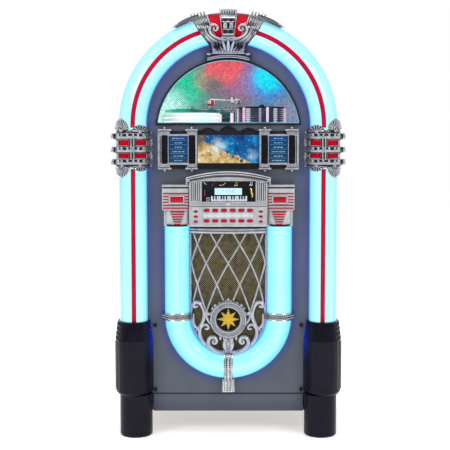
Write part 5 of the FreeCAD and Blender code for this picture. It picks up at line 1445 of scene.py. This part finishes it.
# %% [markdown]
# ## Collars and strap on the lower tube
# The bands are plain in the CAD model. Filigree on them is a chain of small rings and beads that
# follows the tube's half-round section, so each bead is placed by its angle round that section.

# %% Filigree on the bands
def round_leg(turn_deg, z, out):
    turn = math.radians(turn_deg)
    return mm(U_MID + (U_RISE + out) * math.sin(turn), PANEL - (U_RISE + out) * math.cos(turn), z)


bm = bmesh.new()
for i in range(17):
    turn = -62 + 9 * i
    for z in (436, 444):
        spot = round_leg(turn + (4.5 if z == 444 else 0), U_BEND + z - 440, 7.5)
        add_ball(bm, spot, 3.4, (1, 1, 1.1), 1)
for z, radius in ((452, 2.6), (448.5, 1.5), (431.5, 1.5), (428.5, 2.6)):
    add_strand(bm, [round_leg(-60 + 10 * i, U_BEND + z - 440, 7) for i in range(16)], radius, 4, 2)
mirror(bm)
for i in range(19):
    turn = math.radians(-74 + 8.2 * i)
    reach, front_y = 187 + 55 * math.sin(turn), PANEL - 55 * math.cos(turn)
    if reach > 141:
        for x in (-10.5, 0, 10.5):
            add_ball(bm, mm(x, front_y, U_BEND - reach), 3.6 if x else 5.2, (0.9, 0.8, 1.5), 1)
for x in (-14.5, -5.5, 5.5, 14.5):
    spots = [mm(x, PANEL - 54 * math.cos(math.radians(t)), U_BEND - 187 - 54 * math.sin(math.radians(t)))
             for t in range(-56, 84, 10)]
    add_strand(bm, spots, 1.9, 3, 1)
for i in range(7):
    x = -18 + 6 * i
    add_rod(bm, mm(x, PANEL - 22.5, 162), mm(x * 0.85, PANEL - 22.5, 206), 2.0, sides=8)
add_rod(bm, mm(-22, PANEL - 22, 206), mm(22, PANEL - 22, 206), 3)
add_rod(bm, mm(-22, PANEL - 22, 161), mm(22, PANEL - 22, 161), 2.6)
done(bm, "band_filigree", CHROME)

# %% [markdown]
# ## The joint above the plinth
# The front panel and the plinth board are two boards, and their joint reads as a dark line. A gap could
# be cut, but a shallow black strip along the joint is simpler, and no light can leak through it.

# %% Shadow line over the plinth
bm = bmesh.new()
seam = corners("plinth_board")[1].z
add_block(bm, -316, 316, PANEL - 0.8, PANEL + 3, seam - 1.5, seam + 2.2)
done(bm, "plinth_seam", SATIN)

# %% [markdown]
# ## Ribs on the black sleeves
# Four stepped collars near the top of each sleeve catch small lights. Short rods laid round each collar
# give it a cogged look, and long thin ones below them soften the light on the sleeve into stripes.

# %% Cogs on the sleeve collars
SLEEVE_X, SLEEVE_HALF, SLEEVE_DEEP = 347.5, 68.5, 85
sleeve_top = corners("column_sleeves")[1].z
bm = bmesh.new()
for step in range(4):
    z = sleeve_top - 68 + 17 * step
    half = SLEEVE_HALF - 1.2 - 2.1 * step
    reach = SLEEVE_DEEP - (SLEEVE_HALF - half)
    for i in range(19):
        turn = math.radians(-90 + 10 * i)
        x, y = SLEEVE_X + half * math.sin(turn), PANEL - reach * math.cos(turn)
        top = mm(SLEEVE_X + (x - SLEEVE_X) * 0.965, y + 4.4, z + 14)
        add_rod(bm, mm(x, y + 1.6, z + 2), top, 2.8, 2.4, 8)
for i in range(10):
    turn = math.radians(-80 + 17.7 * i)
    x, y = SLEEVE_X + SLEEVE_HALF * math.sin(turn), PANEL - SLEEVE_DEEP * math.cos(turn)
    add_rod(bm, mm(x, y + 2.1, 170), mm(x, y + 2.1, 350), 2.6, sides=8)
mirror(bm)
done(bm, "sleeve_cogs", BLACK)

# %% [markdown]
# ## Back and sides
# The back is plain black board with screws at its edges, a blank plate where a rating label would be,
# and a small handle on the door. The floor of the cabinet is raw wood. Each detail is a turned disc, a
# plate or a strand, a millimetre or two proud. The handle rides on the door's body and swings with it.

# %% Back finishes
WOOD = finish("raw_board", (0.3, 0.2, 0.12), 0.6)
here = add(WOOD, "TexCoord")
grain = add(WOOD, "Mapping", [("Vector", here, "Object")], Scale=(9, 9, 1.1))
streaks = add(WOOD, "TexNoise", [("Vector", grain, 0)], Scale=9.0, Detail=8.0, Roughness=0.6, Distortion=0.4)
figure = ramp(WOOD, streaks, 0, [(0.3, (0.10, 0.062, 0.034)), (0.55, (0.20, 0.13, 0.075)),
                                 (0.75, (0.28, 0.19, 0.11))])
feed(WOOD, figure, 0, "Base Color")
feed(WOOD, add(WOOD, "Bump", [("Height", streaks, 0)], Strength=0.25, Distance=0.001), 0, "Normal")
dress(WOOD, "base_board")
BACK_BOARD = speckle(finish("back_board", (0.03, 0.03, 0.035), 0.6), 5,
                     (0.022, 0.023, 0.027), (0.036, 0.037, 0.042), grain=700, bump=0.35, rough=(0.5, 0.7))
dress(BACK_BOARD, "back_door", "lower_back_panel")

# %% Screws, plate and handle
BACK = 278.0
bm = bmesh.new()
for z in (100, 230, 360, 490, 600):
    for x in (-368, 368):
        add_turned(bm, [(0, 0), (6, 0), (5, 1.6), (2, 2.0), (0, 1.2)], mm(x, BACK - 0.2, z), "Y", 18)
done(bm, "back_screws", STEEL)
bm = bmesh.new()
add_plate(bm, [(-60, 330), (60, 330), (60, 385), (-60, 385)], BACK - 0.4, BACK + 0.8)
done(bm, "blank_plate", STEEL)
bm = bmesh.new()
for z in (720, 800):
    add_rod(bm, mm(-300, BACK, z), mm(-300, BACK + 1.6, z), 6)
add_strand(bm, [mm(-300, BACK + 0.6, z) for z in (716, 725, 760, 795, 804)], [1.3, 1.3, 1.3])
done(bm, "door_pull", STEEL, "door")

# %% [markdown]
# ## Floor, light and camera
# The jukebox stands on a pale floor in soft, even studio light. The surroundings are white behind it and
# grey in front, so the plating mirrors something darker than the backdrop. Two lamps in front give it
# highlights, one shines from above, and a faint one lights the record chamber. The floor gives a little
# light of its own to meet the white behind it, and that light fades out far in front. The camera stands
# above the middle of the jukebox and looks slightly down.

# %% Floor
FLOOR_WHITE = finish("pale_floor", (0.9, 0.9, 0.9), 0.6, shine=0.1)
clouds = ramp(FLOOR_WHITE, mottle(FLOOR_WHITE, 1.5, 3.0), 0,
              [(0.3, (0.88, 0.88, 0.88)), (0.7, (0.93, 0.93, 0.93))])
feed(FLOOR_WHITE, clouds, 0, "Base Color")
FLOOR_WHITE.node_tree.nodes["Principled BSDF"].inputs["Emission Color"].default_value = (1, 1, 1, 1)
feed(FLOOR_WHITE, fade(FLOOR_WHITE, axes(FLOOR_WHITE), "Y", -11500, -3000, 0.45), 0, "Emission Strength")
bm = bmesh.new()
bmesh.ops.create_grid(bm, x_segments=4, y_segments=4, size=12)
mesh = bpy.data.meshes.new("floor")
bm.to_mesh(mesh)
bm.free()
mesh.materials.append(FLOOR_WHITE)
floor = bpy.data.objects.new("floor", mesh)
scene.collection.objects.link(floor)

# %% Lights and world
scene.world = scene.world or bpy.data.worlds.new("studio")
scene.world.use_nodes = True
studio = scene.world.node_tree
sky_node = studio.nodes["Background"]
facing = studio.nodes.new("ShaderNodeTexCoord")
split = studio.nodes.new("ShaderNodeSeparateXYZ")
studio.links.new(facing.outputs["Generated"], split.inputs[0])
behind = studio.nodes.new("ShaderNodeMapRange")
for socket, value in (("From Min", -0.35), ("From Max", 0.30), ("To Min", 0.36), ("To Max", 1.0)):
    behind.inputs[socket].default_value = value
studio.links.new(split.outputs["Y"], behind.inputs["Value"])
studio.links.new(behind.outputs[0], sky_node.inputs[0])
sky_node.inputs[1].default_value = 1.0
scene.view_settings.view_transform = "Standard"


def softbox(name, place, target, size, power, colour=(1, 1, 1)):
    lamp = bpy.data.lights.new(name, "AREA")
    lamp.energy, lamp.size, lamp.color = power, size, colour
    carrier = bpy.data.objects.new(name, lamp)
    carrier.location = place
    carrier.rotation_euler = (Vector(target) - Vector(place)).to_track_quat("-Z", "Y").to_euler()
    scene.collection.objects.link(carrier)


softbox("key_left", (-2.2, -2.6, 2.4), (0, 0, 0.9), 1.2, 34)
softbox("key_right", (2.2, -2.6, 2.2), (0, 0, 0.9), 1.2, 28)
softbox("top", (0, -0.6, 3.4), (0, 0, 0.8), 1.6, 30)
softbox("chamber_lamp", (0, -0.10, 1.36), (0, 0, 1.15), 0.2, 0.5)

# %% Camera
RENDER_SIDE, FOCAL, LOOK_DOWN = 450, 983.27, 4.37
lens = bpy.data.cameras.new("camera")
lens.sensor_width = 36
lens.lens = 36 * FOCAL / RENDER_SIDE
lens.shift_x = -0.0073
camera = bpy.data.objects.new("camera", lens)
camera.location = (0, PANEL / 1000 - 3.6, 1.05)
camera.rotation_euler = (math.radians(90 - LOOK_DOWN), 0, 0)
scene.collection.objects.link(camera)
scene.camera = camera
